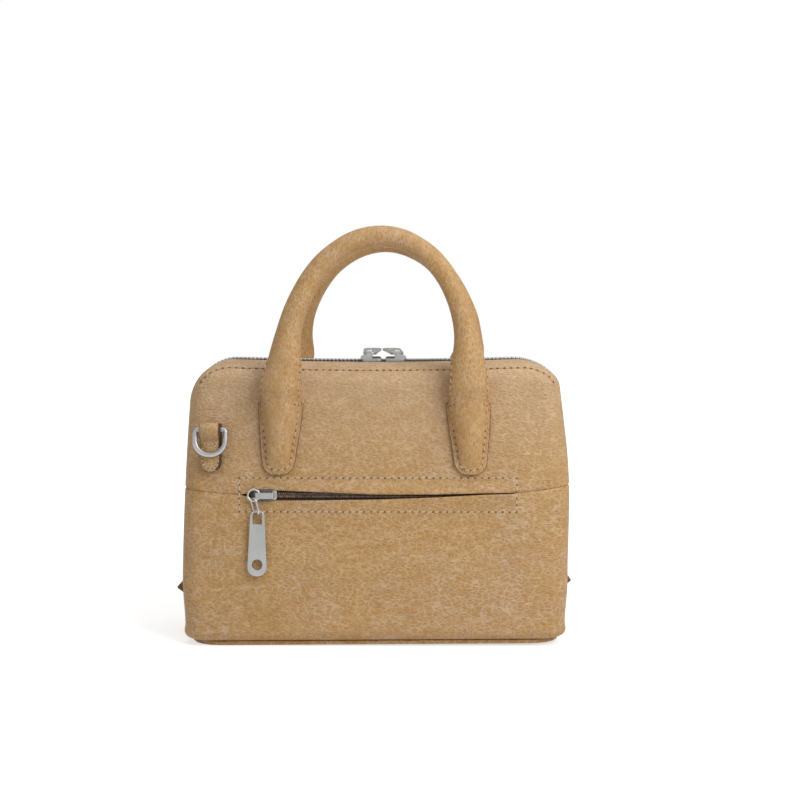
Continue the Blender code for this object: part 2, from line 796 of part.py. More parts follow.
def make_top_slider(side):
    """A top slider, its puller and the frame that both hang from."""
    word = "left" if side == LEFT else "right"
    half = ROW_GAP / 2.0 + ROW_WIDTH + CLEARANCE + SLIDER_FLANGE
    tooth_top = CLEARANCE + TOOTH_HEIGHT
    tape_height = BODY_HEIGHT - ZIP_TAPE_INSET
    meeting = SLIDER_MEETING + side * SLIDER_SPACING / 2.0
    frame = add_empty(
        "top_slider_frame_" + word, Matrix.Translation((meeting, 0.0, tape_height))
    )
    loop = channel_loop(
        half + CUT_OVERRUN, CLEARANCE, SLIDER_PLATE, SLIDER_FLANGE + CUT_OVERRUN, SLIDER_WEB,
        tooth_top, TAPE,
    )
    mesh = slider_mesh("top_slider_" + word, SLIDER_LENGTH + CUT_OVERRUN, loop)
    slider = add_part("top_slider_" + word, mesh, "nickel", None, frame)
    plan = [
        (-SLIDER_LENGTH / 2.0, -half), (SLIDER_LENGTH / 2.0, -half),
        (SLIDER_LENGTH / 2.0, half), (-SLIDER_LENGTH / 2.0, half),
    ]
    top = tooth_top + CLEARANCE + SLIDER_PLATE
    tall = 2.0 * (top + SLIDER_PLATE + TAPE + CLEARANCE + CUT_OVERRUN)
    trim = outline_mesh("slider_plan", [rounded_loop(plan, [SLIDER_CORNER_RADIUS] * 4)], tall)
    boolean(slider, add_cutter("slider_plan_" + word, trim, frame), "INTERSECT")
    bail_x = side * BAIL_OFFSET
    sink = SLIDER_PLATE / 2.0
    half_span = BAIL_SPAN / 2.0
    hole_half = half_span - BAIL_WIRE
    crown = BAIL_RISE - BAIL_WIRE
    arch = [
        (-half_span, -sink), (-hole_half, -sink), (-hole_half, crown), (hole_half, crown),
        (hole_half, -sink), (half_span, -sink), (half_span, BAIL_RISE), (-half_span, BAIL_RISE),
    ]
    rounds = [0.0] * 6 + [BAIL_ROUND, BAIL_ROUND]
    bail = outline_mesh("bail", [rounded_loop(arch, rounds)], BAIL_WIDTH)
    upright = Matrix.Rotation(math.pi / 2.0, 4, "Z") @ Matrix.Rotation(math.pi / 2.0, 4, "X")
    stand = Matrix.Translation((bail_x, 0.0, top)) @ upright
    boolean(slider, add_cutter("bail_" + word, bail, frame, stand), "UNION")
    backward = Matrix.Rotation(math.pi, 4, "Z") @ Matrix.Rotation(PULLER_TILT, 4, "X")
    make_plate("top_puller_" + word, frame, Matrix.Translation((bail_x, 0.0, top + BAIL_BAR_RISE)) @ backward)


def make_plate(name, parent, matrix):
    """A puller plate, its origin on the bar above its window and its length along -Y."""
    top = PLATE_BAR / 2.0
    bottom = top - PLATE_LENGTH
    outer = [
        (PLATE_TOP_WIDTH / 2.0, top), (-PLATE_TOP_WIDTH / 2.0, top),
        (-PLATE_WIDTH / 2.0, bottom), (PLATE_WIDTH / 2.0, bottom),
    ]
    lower_round = PLATE_WIDTH * LOWER_ROUND_SHARE
    outer_loop = rounded_loop(outer, [PLATE_TOP_ROUND, PLATE_TOP_ROUND, lower_round, lower_round])
    window_top = -PLATE_BAR / 2.0
    half = PLATE_WINDOW_WIDTH / 2.0
    window = [
        (half, window_top), (-half, window_top),
        (-half, window_top - PLATE_WINDOW_HEIGHT), (half, window_top - PLATE_WINDOW_HEIGHT),
    ]
    window_loop = rounded_loop(window, [PLATE_WINDOW_ROUND, PLATE_WINDOW_ROUND, 0.0, 0.0], steps=3)
    hole = circle_loop((0.0, bottom + PLATE_HOLE_HEIGHT), PLATE_HOLE_RADIUS, ROUND_STEPS * 3)
    mesh = outline_mesh(name, [outer_loop, window_loop, hole], PLATE_THICKNESS)
    return add_part(name, mesh, "nickel", matrix, parent)


LOWER_ROUND_SHARE = 0.46


def make_top_zip():
    make_tape("top_zip_tape_front", FRONT)
    make_tape("top_zip_tape_back", BACK)
    make_teeth("top_zip_teeth_front", FRONT)
    make_teeth("top_zip_teeth_back", BACK)
    make_end_tab("zip_end_tab_left", LEFT)
    make_end_tab("zip_end_tab_right", RIGHT)
    make_top_slider(LEFT)
    make_top_slider(RIGHT)


# The front zip pocket

def face_frame(name, x, height, side):
    """A frame on the face: X along it, Y up it and Z out of it."""
    lean = face_lean(height)
    if side == FRONT:
        turn = Matrix.Rotation(math.pi / 2.0 - lean, 4, "X")
    else:
        turn = Matrix.Rotation(math.pi, 4, "Z") @ Matrix.Rotation(math.pi / 2.0 - lean, 4, "X")
    return add_empty(name, Matrix.Translation((x, side * face_out(height), height)) @ turn)


def make_pocket_tape(name, frame, side):
    near = side * POCKET_ROW_GAP / 2.0
    far = side * POCKET_TAPE_WIDTH
    low = (-POCKET_HALF, min(near, far), -POCKET_TAPE_INSET - TAPE)
    high = (POCKET_HALF, max(near, far), -POCKET_TAPE_INSET)
    add_part(name, box_mesh(name, low, high), "brown_tape", None, frame)


def make_pocket_teeth(name, frame, side):
    half = POCKET_HALF - POCKET_TOOTH_PITCH
    path = [Vector((-half, 0.0, -POCKET_TAPE_INSET)), Vector((half, 0.0, -POCKET_TAPE_INSET))]
    rings = []
    for index, (place, _) in enumerate(resample(path, POCKET_TOOTH_PITCH / 2.0)):
        step = POCKET_TOOTH_DEPTH if index % 2 == (side == FRONT) else 0.0
        near = place + Vector((0.0, side * (POCKET_ROW_GAP / 2.0 + step), CLEARANCE))
        far = place + Vector((0.0, side * (POCKET_ROW_GAP / 2.0 + POCKET_ROW_WIDTH), CLEARANCE))
        rise = Vector((0.0, 0.0, POCKET_TOOTH_HEIGHT))
        rings.append([near, far, far + rise, near + rise])
    add_part(name, ring_mesh(name, rings), "coil", None, frame)


def make_pocket_slider(frame):
    tooth_top = CLEARANCE + POCKET_TOOTH_HEIGHT
    loop = channel_loop(
        POCKET_SLIDER_HALF + CUT_OVERRUN, CLEARANCE, POCKET_SLIDER_PLATE,
        POCKET_SLIDER_FLANGE + CUT_OVERRUN, SLIDER_WEB, tooth_top, TAPE,
    )
    carrier = add_empty(
        "pocket_slider_frame", Matrix.Translation((-POCKET_SLIDER_START, 0.0, -POCKET_TAPE_INSET)), frame
    )
    mesh = slider_mesh("pocket_slider", POCKET_SLIDER_LENGTH + CUT_OVERRUN, loop)
    slider = add_part("pocket_slider", mesh, "nickel", None, carrier)
    half_x = POCKET_SLIDER_LENGTH / 2.0
    plan = [
        (-half_x, -POCKET_SLIDER_HALF), (half_x, -POCKET_SLIDER_HALF),
        (half_x, POCKET_SLIDER_HALF), (-half_x, POCKET_SLIDER_HALF),
    ]
    top = tooth_top + CLEARANCE + POCKET_SLIDER_PLATE
    tall = 2.0 * (top + POCKET_SLIDER_PLATE + TAPE + CLEARANCE + CUT_OVERRUN)
    trim = outline_mesh("pocket_plan", [rounded_loop(plan, [POCKET_SLIDER_CORNER] * 4)], tall)
    boolean(slider, add_cutter("pocket_plan", trim, carrier), "INTERSECT")
    half = BRIDGE_LENGTH / 2.0
    sink = POCKET_SLIDER_PLATE / 2.0
    hole_x = -half + BRIDGE_HOLE_INSET
    near = hole_x - BRIDGE_HOLE_LENGTH / 2.0
    far = hole_x + BRIDGE_HOLE_LENGTH / 2.0
    arch = [
        (-half, -sink), (near, -sink), (near, BRIDGE_HOLE_RISE), (far, BRIDGE_HOLE_RISE),
        (far, -sink), (half, -sink), (half, BRIDGE_RISE), (-half, BRIDGE_RISE),
    ]
    rounds = [0.0] * 6 + [BRIDGE_ROUND, BRIDGE_ROUND]
    bridge = outline_mesh("bridge", [rounded_loop(arch, rounds)], BRIDGE_WIDTH)
    stand = Matrix.Translation((0.0, 0.0, top)) @ Matrix.Rotation(math.pi / 2.0, 4, "X")
    boolean(slider, add_cutter("bridge", bridge, carrier, stand), "UNION")
    ring_rise = BRIDGE_HOLE_RISE - RING_WIRE_RADIUS - LINK_PLAY
    make_pull_chain(carrier, Vector((hole_x, 0.0, top + ring_rise)))


def link_path():
    """The oval link's wire, its origin at the top bend's inner rest."""
    half = LINK_WIDTH / 2.0 - LINK_WIRE_RADIUS
    top = RING_WIRE_RADIUS + LINK_PLAY + LINK_WIRE_RADIUS
    bottom = top - (LINK_LENGTH - 2.0 * LINK_WIRE_RADIUS)
    corners = [(half, top), (-half, top), (-half, bottom), (half, bottom)]
    loop = rounded_loop(corners, [half * NEARLY_SHARE] * len(corners), steps=4)
    turn = Matrix.Rotation(LINK_TURN, 4, "Y")
    return [turn @ Vector((point.x, point.y, 0.0)) for point in loop], bottom


NEARLY_SHARE = 0.98


def make_pull_chain(carrier, hole):
    """Ring, link and puller plate, hung one from the other."""
    ring_frame = add_empty("pull_ring_frame", Matrix.Translation(hole), carrier)
    count = WIRE_SIDES * 3
    angles = [2.0 * math.pi * step / count for step in range(count)]
    path = [
        Vector((RING_RADIUS * (math.cos(angle) - 1.0), RING_RADIUS * math.sin(angle), 0.0))
        for angle in angles
    ]
    ring = wire_mesh("pocket_pull_ring", path, RING_WIRE_RADIUS)
    add_part("pocket_pull_ring", ring, "nickel", None, ring_frame)
    link_frame = add_empty(
        "pull_link_frame", Matrix.Translation((-RING_RADIUS, -RING_RADIUS, 0.0)), ring_frame
    )
    path, bottom = link_path()
    link = wire_mesh("pocket_pull_link", path, LINK_WIRE_RADIUS)
    add_part("pocket_pull_link", link, "nickel", None, link_frame)
    bar_height = bottom + LINK_WIRE_RADIUS + LINK_BAR_RISE
    make_plate("pocket_puller", link_frame, Matrix.Translation((0.0, bar_height, 0.0)))


def make_pouch(frame):
    """The pocket's cloth pouch: a front layer, a fold at the foot and a back layer."""
    front_top = -POCKET_TAPE_WIDTH - CLEARANCE
    back_top = POCKET_TAPE_WIDTH
    drop = SEAM_HEIGHT - POUCH_BOTTOM
    front_depth = -POUCH_INSET
    back_depth = -(POUCH_BACK_INSET + POUCH_FABRIC)
    steps = LOWER_ROWS
    rows = []
    for depth, top in ((front_depth, front_top), (back_depth, back_top)):
        line = []
        for step in range(steps + 1):
            rise = blend(-drop, top, step / steps)
            line.append((rise, depth))
        rows.append(line)
    profile = list(reversed(rows[0])) + [(-drop - POUCH_ROOM, (front_depth + back_depth) / 2.0)] + rows[1]
    normal = face_lean(SEAM_HEIGHT)
    lines = []
    for rise, depth in profile:
        height = SEAM_HEIGHT + rise * math.cos(normal)
        out = face_out(height) + depth
        lines.append([Vector((x, FRONT * out, height)) for x in (-POUCH_HALF, POUCH_HALF)])
    pouch = add_part("pocket_pouch", grid_mesh("pocket_pouch", lines, flip=True), "lining_cloth")
    wall(pouch, POUCH_FABRIC)


def make_pocket():
    frame = face_frame("pocket_frame", POCKET_SHIFT, SEAM_HEIGHT, FRONT)
    make_pocket_tape("pocket_zip_tape_upper", frame, BACK)
    make_pocket_tape("pocket_zip_tape_lower", frame, FRONT)
    make_pocket_teeth("pocket_zip_teeth_upper", frame, BACK)
    make_pocket_teeth("pocket_zip_teeth_lower", frame, FRONT)
    make_pocket_slider(frame)
    make_pouch(frame)


# The handles

def handle_radius(rise_share):
    """Radius of the rolled handle, thick at its feet and slim at the top."""
    return blend(HANDLE_TOP_RADIUS, HANDLE_BASE_RADIUS, (1.0 - rise_share) ** HANDLE_TAPER_POWER)


HANDLE_TAPER_POWER = 1.8


def handle_path(side):
    """Centre points and radii from the left hinge over the arch to the right hinge."""
    points = []
    foot_x = HANDLE_SPREAD + HANDLE_FLARE
    points.append((Vector((-foot_x, 0.0, HANDLE_HINGE_HEIGHT)), handle_radius(0.0)))
    for step in range(ARCH_STEPS + 1):
        angle = math.pi * step / ARCH_STEPS
        place = Vector((
            -HANDLE_SPREAD * math.cos(angle), 0.0, HANDLE_SPRING_HEIGHT + HANDLE_RISE * math.sin(angle)
        ))
        points.append((place, handle_radius(math.sin(angle))))
    points.append((Vector((foot_x, 0.0, HANDLE_HINGE_HEIGHT)), handle_radius(0.0)))
    total = HANDLE_SPRING_HEIGHT + HANDLE_RISE - HANDLE_HINGE_HEIGHT
    leaning = []
    for place, radius in points:
        share = (place.z - HANDLE_HINGE_HEIGHT) / total
        place.y = side * (HANDLE_OUT - HANDLE_LEAN * share)
        leaning.append((place, radius))
    return leaning


def handle_rings(side, shrink, sides, mouth):
    """Rings round the handle, its two ends rounded about the hinge line down to a mouth."""
    path = handle_path(side)
    base = path[0][1] - shrink
    first = math.asin(min(mouth / base, 1.0))
    rings = []
    for end in (0, -1):
        centre = path[end][0]
        neighbour = path[1 if end == 0 else -2][0]
        away = (centre - neighbour).normalized()
        cap = []
        for step in range(END_STEPS):
            angle = blend(first, math.pi / 2.0, step / END_STEPS)
            cap.append((centre + away * base * math.cos(angle), base * math.sin(angle)))
        rings.append(cap)
    run = rings[0] + [(place, radius - shrink) for place, radius in path] + list(reversed(rings[1]))
    placed = smooth_directions([(place, None) for place, _ in run])
    out = Vector((0.0, side, 0.0))
    loops = []
    for (place, direction), (_, radius) in zip(placed, run):
        across = direction.cross(out).normalized()
        up = across.cross(direction).normalized()
        angles = [2.0 * math.pi * (step + 0.5) / sides for step in range(sides)]
        loops.append([place + (across * math.cos(a) + up * math.sin(a)) * radius for a in angles])
    return loops


def oriented(mesh, outside):
    """Turn an open tube's faces so that they point out."""
    data = bmesh.new()
    data.from_mesh(mesh)
    data.faces.ensure_lookup_table()
    face = data.faces[len(data.faces) // 2]
    if (face.calc_center_median() - outside).dot(face.normal) < 0.0:
        bmesh.ops.reverse_faces(data, faces=data.faces[:])
    data.to_mesh(mesh)
    data.free()
    return mesh


def make_handle(word, side):
    name = word + "_handle"
    hinge = Vector((0.0, side * HANDLE_OUT, HANDLE_HINGE_HEIGHT))
    frame = add_empty(name + "_frame", Matrix.Translation(hinge))
    rings = handle_rings(side, 0.0, HANDLE_SIDES, HANDLE_MOUTH_RADIUS)
    mesh = ring_mesh(name, rings, capped=False)
    middle = sum(rings[len(rings) // 2], Vector()) / HANDLE_SIDES
    nearby = oriented(mesh, middle)
    nearby.transform(Matrix.Translation(-hinge))
    sleeve = add_part(name, nearby, "tan_leather", None, frame)
    wall(sleeve, HANDLE_LEATHER)
    flat_share = math.cos(math.pi / HANDLE_SIDES)
    shrink = HANDLE_LEATHER / flat_share + CLEARANCE + HANDLE_BASE_RADIUS * (1.0 - flat_share)
    core = ring_mesh(name + "_core", handle_rings(side, shrink, CORE_SIDES, HANDLE_MOUTH_RADIUS))
    core.transform(Matrix.Translation(-hinge))
    add_part(name + "_core", core, "cord_core", None, frame)


def tab_profile(height):
    """Half width, roll half width and roll rise of a handle tab at a height."""
    share = (height - TAB_BOTTOM) / (TAB_TOP - TAB_BOTTOM)
    half = blend(TAB_TIP_WIDTH, TAB_WIDTH, smooth(share + TAB_SWELL_SHARE)) / 2.0
    if height < TAB_BOTTOM + TAB_TIP_LENGTH:
        drop = 1.0 - (height - TAB_BOTTOM) / TAB_TIP_LENGTH
        half *= math.sqrt(max(1.0 - (drop * TAB_TIP_SHARE) ** 2, 0.0))
    roll = min(TAB_ROLL_HALF, half * TAB_ROLL_SHARE)
    rise = blend(TAB_ROLL_TIP_RISE, TAB_ROLL_RISE, smooth(share * TAB_RISE_SHARE))
    return half, roll, rise


TAB_SWELL_SHARE = 0.15
TAB_TIP_SHARE = 0.93
TAB_ROLL_SHARE = 0.68
TAB_RISE_SHARE = 1.2
TAB_ROW_SHARES = (0.0, 0.05, 0.11, 0.19, 0.32, 0.46, 0.60, 0.74, 0.88, 1.0)
ROLL_STEPS = 6


def make_handle_tab(word, side, across):
    """The flat foot of the handle with the roll running down it, as one piece of leather."""
    centre = HANDLE_SPREAD + HANDLE_FLARE
    rings = []
    for row_share in TAB_ROW_SHARES:
        height = blend(TAB_BOTTOM, TAB_TOP, row_share)
        half, roll, rise = tab_profile(height)
        out = face_out(height) + CLEARANCE
        section = [(-half, 0.0), (half, 0.0), (half, TAB_THICKNESS)]
        for step in range(ROLL_STEPS + 1):
            angle = math.pi * step / ROLL_STEPS
            section.append((roll * math.cos(angle), TAB_THICKNESS + rise * math.sin(angle)))
        section.append((-half, TAB_THICKNESS))
        rings.append([Vector((across * centre + x, side * (out + rise_out), height)) for x, rise_out in section])
    name = "%s_handle_tab_%s" % (word, "left" if across == LEFT else "right")
    add_part(name, ring_mesh(name, rings), "tan_leather")


def make_handles():
    for word, side in (("front", FRONT), ("back", BACK)):
        make_handle(word, side)
        make_handle_tab(word, side, LEFT)
        make_handle_tab(word, side, RIGHT)


# The D-rings

def dring_path():
    """A straight bar, two short legs and a half circle, the bar's middle at the origin."""
    leg = DRING_DROP - DRING_HALF
    corners = [(-DRING_HALF, -leg), (-DRING_HALF, 0.0), (DRING_HALF, 0.0), (DRING_HALF, -leg)]
    loop = rounded_loop(corners, [0.0, DRING_CORNER, DRING_CORNER, 0.0], steps=3)
    count = ROUND_STEPS * 2
    for step in range(1, count):
        angle = -math.pi * step / count
        loop.append(Vector((DRING_HALF * math.cos(angle), -leg + DRING_HALF * math.sin(angle))))
    return [Vector((point.x, point.y, 0.0)) for point in loop]


def make_dring(word, side, x):
    frame = face_frame("ring_frame_" + word, x, DRING_BAR_HEIGHT, side)
    bar_out = CLEARANCE + RING_TAB_LOOP_RADIUS
    bar_frame = add_empty("ring_bar_" + word, Matrix.Translation((0.0, 0.0, bar_out)), frame)
    tilt = Matrix.Rotation(-DRING_TILT, 4, "X")
    ring = wire_mesh("d_ring_" + word, dring_path(), DRING_WIRE_RADIUS, resolution=1)
    add_part("d_ring_" + word, ring, "nickel", tilt, bar_frame)
    half = RING_TAB_WIDTH / 2.0
    corners = [(-half, -RING_TAB_LENGTH), (half, -RING_TAB_LENGTH), (half, 0.0), (-half, 0.0)]
    tip = half * NEARLY_SHARE
    tongue = outline_mesh("ring_tab_" + word, [rounded_loop(corners, [tip, tip, 0.0, 0.0])], RING_TAB_THICKNESS)
    sunk = RING_TAB_THICKNESS / 2.0 - RING_TAB_LOOP_RADIUS
    tongue.transform(Matrix.Translation((0.0, 0.0, sunk)))
    tab = add_part("ring_tab_" + word, tongue, "tan_leather", None, bar_frame)
    loop = rod_mesh("loop_roll_" + word, RING_TAB_LOOP_RADIUS, RING_TAB_WIDTH, CORE_SIDES * 2)
    boolean(tab, add_cutter("loop_roll_" + word, loop, bar_frame), "UNION")
    bore_radius = DRING_WIRE_RADIUS + RING_TAB_PLAY
    bore = rod_mesh("loop_bore_" + word, bore_radius, RING_TAB_WIDTH + CUT_OVERRUN, CORE_SIDES)
    boolean(tab, add_cutter("loop_bore_" + word, bore, bar_frame), "DIFFERENCE")


def make_drings():
    make_dring("front", FRONT, -DRING_OFFSET)
    make_dring("back", BACK, DRING_OFFSET)


make_panels()
make_base()
make_linings()
make_slip_pocket()
make_top_zip()
make_pocket()
make_handles()
make_drings()
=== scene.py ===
"""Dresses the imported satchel: soft leather shells, rolled handles, stitches, zips and fittings."""

import math

import bmesh
import bpy
from mathutils import Matrix, Vector, noise


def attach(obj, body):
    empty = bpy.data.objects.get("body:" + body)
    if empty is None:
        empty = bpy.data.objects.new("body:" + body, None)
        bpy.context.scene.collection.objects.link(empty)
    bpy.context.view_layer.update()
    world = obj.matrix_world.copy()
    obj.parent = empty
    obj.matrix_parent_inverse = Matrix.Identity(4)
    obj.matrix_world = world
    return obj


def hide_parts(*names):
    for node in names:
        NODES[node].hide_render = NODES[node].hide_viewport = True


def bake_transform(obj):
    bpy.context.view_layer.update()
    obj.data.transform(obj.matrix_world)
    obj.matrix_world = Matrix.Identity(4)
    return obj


bl_info = {
    "name": "Small Leather Satchel",
    "version": (1, 0, 0),
    "blender": (4, 5, 0),
    "location": "3D View > Sidebar > Satchel",
    "description": "Dresses a packed satchel with leather, thread, zips and metal fittings",
    "category": "Add Mesh",
}

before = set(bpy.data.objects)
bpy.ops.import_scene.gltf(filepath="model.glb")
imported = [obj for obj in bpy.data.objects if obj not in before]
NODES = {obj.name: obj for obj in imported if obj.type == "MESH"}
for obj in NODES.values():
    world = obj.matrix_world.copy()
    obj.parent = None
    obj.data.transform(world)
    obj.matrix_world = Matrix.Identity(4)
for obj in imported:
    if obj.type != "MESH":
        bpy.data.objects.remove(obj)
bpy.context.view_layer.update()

FRONT = -1
BACK = 1
LEFT = -1
RIGHT = 1
MM = 0.001
POCKET_SHIFT = 2.5 * MM
SIDES = (("front", FRONT), ("back", BACK))


def length(name, description, default):
    """A length that the sidebar shows in the scene's unit."""
    return bpy.props.FloatProperty(
        name=name, description=description, default=default, unit="LENGTH")


def tint(name, description, default):
    """A colour that the sidebar shows with a picker."""
    return bpy.props.FloatVectorProperty(
        name=name, description=description, subtype="COLOR", size=3, default=default)


class SatchelShape(bpy.types.PropertyGroup):
    """Sizes of the soft leather body."""

    body_width: length("Body Width", "Widest measure of the body", 0.2242)
    shoulder_width: length("Shoulder Width", "Width just below the top corners", 0.2172)
    body_height: length("Body Height", "Height of the top edge", 0.165)
    base_depth: length("Base Depth", "Depth at the foot", 0.084)
    shoulder_depth: length("Shoulder Depth", "Depth where the top rounds over", 0.054)
    widest_height: length("Widest Height", "Height of the widest place", 0.031)
    corner_radius: length("Corner Radius", "Round of the two top corners", 0.0265)
    shoulder_height: length("Shoulder Height", "How far the rounded top reaches down", 0.014)
    side_fold: length("Side Fold", "Round between face and side", 0.012)
    base_fold: length("Base Fold", "Round above the base", 0.0065)
    foot_height: length("Foot Height", "Height of the leather's lowest edge", 0.0027)
    face_bulge: length("Face Bulge", "How far the faces swell", 0.0015)
    seam_height: length("Seam Height", "Height of the seam and the pocket zip", 0.0873)
    zip_edge: length("Zip Edge", "From the middle plane to the leather's edge", 0.0062)
    zip_end: length("Zip End", "Height where the top zip ends", 0.034)
    zip_fade: length("Zip Fade", "Height over which the edges close", 0.010)
    leather: length("Leather", "Thickness of the leather", 0.0016)
    waviness: length("Waviness", "Height of the soft dents in the faces", 0.0007)
    top_sag: length("Top Sag", "How far the top sinks in its middle", 0.0020)
    side_swell: length("Side Swell", "How far the right side bulges", 0.0023)
    corner_swell: length("Corner Swell", "How far the upper right corner bulges", 0.0026)
    side_tuck: length("Side Tuck", "How far the sides draw in at the foot", 0.0019)
    base_lean: length("Base Lean", "Rise of the base at its front right corner", 0.0019)
    pocket_half: length("Pocket Half", "Half the length of the pocket's slot", 0.0778)


class SatchelFinish(bpy.types.PropertyGroup):
    """Colours of the finishes."""

    leather_mid: tint("Leather", "Main colour of the leather", (0.555, 0.322, 0.116))
    leather_warm: tint("Leather Warm", "Colour in the hollows of the grain", (0.500, 0.258, 0.074))
    leather_pale: tint("Leather Pale", "Colour of the lines of the grain", (0.720, 0.490, 0.258))
    # The rose colour tints random patches of the grain's lines, and is also the colour of the light
    # painted towards the top of the body
    leather_rose_and_top_light: tint("Leather Rose", "Pinkish tint of rubbed places", (0.655, 0.475, 0.312))
    edge: tint("Edge", "Painted edge of cut leather", (0.125, 0.058, 0.026))
    thread: tint("Thread", "Sewing thread", (0.800, 0.680, 0.480))
    tape: tint("Tape", "Woven zip tape", (0.045, 0.026, 0.018))
    metal: tint("Metal", "Satin nickel", (0.51, 0.51, 0.50))
    cloth: tint("Cloth", "Lining cloth", (0.150, 0.100, 0.060))


def shape():
    """The sizes in use."""
    return bpy.context.scene.satchel_shape


def finish():
    """The colours in use."""
    return bpy.context.scene.satchel_finish


# Small helpers

CREASE = 50.0
WELD = 0.005 * MM
FINE_WELD = 0.002 * MM


def smooth(value):
    """Ease from 0 to 1."""
    value = max(0.0, min(1.0, value))
    return value * value * (3.0 - 2.0 * value)


def mix(start, end, share):
    """The value a share of the way from start to end."""
    return start + (end - start) * share


def link(name, mesh, *materials):
    """Put a mesh in the scene as a piece, with its materials."""
    piece = bpy.data.objects.new(name, mesh)
    bpy.context.scene.collection.objects.link(piece)
    for material in materials:
        mesh.materials.append(material)
    return piece


def to_mesh(name, data, crease=None):
    """Make a smooth mesh; edges that turn by more than the crease, in degrees, stay sharp."""
    mesh = bpy.data.meshes.new(name)
    data.to_mesh(mesh)
    data.free()
    mesh.shade_smooth()
    if crease is not None:
        mesh.set_sharp_from_angle(angle=math.radians(crease))
    return mesh


def plain_mesh(piece):
    """Apply every modifier of a piece and keep the result as its mesh."""
    graph = bpy.context.evaluated_depsgraph_get()
    result = bpy.data.meshes.new_from_object(piece.evaluated_get(graph))
    result.name = piece.name
    piece.modifiers.clear()
    old = piece.data
    piece.data = result
    if isinstance(old, bpy.types.Mesh):
        bpy.data.meshes.remove(old)
    return piece


def grid_data(rows, flip=False, looped=False):
    """Skin rows of points; a looped grid joins each row's ends."""
    data = bmesh.new()
    lines = [[data.verts.new(point) for point in row] for row in rows]
    for lower, upper in zip(lines, lines[1:]):
        count = len(lower) if looped else len(lower) - 1
        for index in range(count):
            following = (index + 1) % len(lower)
            corners = [lower[index], lower[following], upper[following], upper[index]]
            if flip:
                corners.reverse()
            data.faces.new(corners)
    return data


def tube_data(rings):
    """Skin closed rings and shut both ends."""
    data = grid_data(rings, looped=True)
    data.verts.ensure_lookup_table()
    count = len(rings[0])
    data.faces.new(list(reversed(data.verts[:count])))
    data.faces.new(data.verts[-count:])
    bmesh.ops.recalc_face_normals(data, faces=data.faces[:])
    return data


def run_at(path, index):
    """Direction of a path at one of its points."""
    before = path[max(index - 1, 0)]
    after = path[min(index + 1, len(path) - 1)]
    return (after - before).normalized()


def rounded_loop(corners, radii, steps=8):
    """Round the corners of a plane outline with arcs."""
    loop = []
    for index, corner in enumerate(corners):
        here = Vector(corner)
        before = (Vector(corners[index - 1]) - here).normalized()
        after = (Vector(corners[(index + 1) % len(corners)]) - here).normalized()
        radius = radii[index]
        if radius <= 0.0:
            loop.append(here)
            continue
        half = before.angle(after) / 2.0
        reach = radius / math.tan(half)
        centre = here + (before + after).normalized() * (radius / math.sin(half))
        start = here + before * reach - centre
        turn = (here + after * reach - centre).angle_signed(start)
        for step in range(steps + 1):
            angle = turn * step / steps
            spun = (
                start.x * math.cos(angle) - start.y * math.sin(angle),
                start.x * math.sin(angle) + start.y * math.cos(angle),
            )
            loop.append(centre + Vector(spun))
    return loop


def curve_mesh(name, curve):
    """Turn a curve into a clean mesh."""
    holder = bpy.data.objects.new(name, curve)
    bpy.context.scene.collection.objects.link(holder)
    graph = bpy.context.evaluated_depsgraph_get()
    mesh = bpy.data.meshes.new_from_object(holder.evaluated_get(graph))
    bpy.data.objects.remove(holder, do_unlink=True)
    data = bmesh.new()
    data.from_mesh(mesh)
    bmesh.ops.remove_doubles(data, verts=data.verts[:], dist=FINE_WELD)
    bmesh.ops.recalc_face_normals(data, faces=data.faces[:])
    data.to_mesh(mesh)
    data.free()
    mesh.name = name
    return mesh


def plate_mesh(name, loops, thickness, bevel):
    """Fill a flat outline with its holes, thicken it and round its edges."""
    curve = bpy.data.curves.new(name, "CURVE")
    curve.dimensions = "2D"
    curve.fill_mode = "BOTH"
    curve.extrude = thickness / 2.0 - bevel
    curve.bevel_depth = bevel
    curve.bevel_resolution = 2
    curve.offset = -bevel
    for loop in loops:
        spline = curve.splines.new("POLY")
        spline.points.add(len(loop) - 1)
        for point, place in zip(spline.points, loop):
            point.co = (place.x, place.y, 0.0, 1.0)
        spline.use_cyclic_u = True
    mesh = curve_mesh(name, curve)
    mesh.shade_smooth()
    mesh.set_sharp_from_angle(angle=math.radians(CREASE))
    return mesh


def wire_mesh(name, path, radius, cyclic=True, resolution=4):
    """Sweep a round wire along a path."""
    curve = bpy.data.curves.new(name, "CURVE")
    curve.dimensions = "3D"
    curve.bevel_depth = radius
    curve.bevel_resolution = resolution
    curve.use_fill_caps = not cyclic
    spline = curve.splines.new("POLY")
    spline.points.add(len(path) - 1)
    for point, place in zip(spline.points, path):
        point.co = (*place, 1.0)
    spline.use_cyclic_u = cyclic
    mesh = curve_mesh(name, curve)
    mesh.shade_smooth()
    return mesh


def softened_copy(node, name, width, segments=2):
    """A copy of a solid with its triangles joined and its edges rounded."""
    data = bmesh.new()
    data.from_mesh(NODES[node].data)
    bmesh.ops.remove_doubles(data, verts=data.verts[:], dist=WELD)
    bmesh.ops.dissolve_limit(
        data, angle_limit=math.radians(1.0), verts=data.verts[:], edges=data.edges[:])
    least = math.radians(40.0)
    sharp = [edge for edge in data.edges if edge.is_manifold and edge.calc_face_angle() > least]
    bmesh.ops.bevel(
        data, geom=sharp, offset=width, offset_type="OFFSET", segments=segments, profile=0.5,
        affect="EDGES", clamp_overlap=True,
    )
    return to_mesh(name, data, CREASE)


# Materials

GRAIN_SCALE = 620.0
GRAIN_WARP = 1.3
GRAIN_RELIEF = 0.00030
SMALL_RELIEF = 0.00006
FLECK_RELIEF = 0.00003
# Heights between which the painted light at the top of the leather fades in
TOP_LIGHT_FOOT = 0.095
TOP_LIGHT_TOP = 0.155
BLACK = (0.0, 0.0, 0.0)
WHITE = (1.0, 1.0, 1.0)


def grey(value):
    """A colour without a hue."""
    return (value,) * 3


def shaded(colour, share):
    """A colour made darker or lighter by a share."""
    return [min(channel * share, 1.0) for channel in colour]


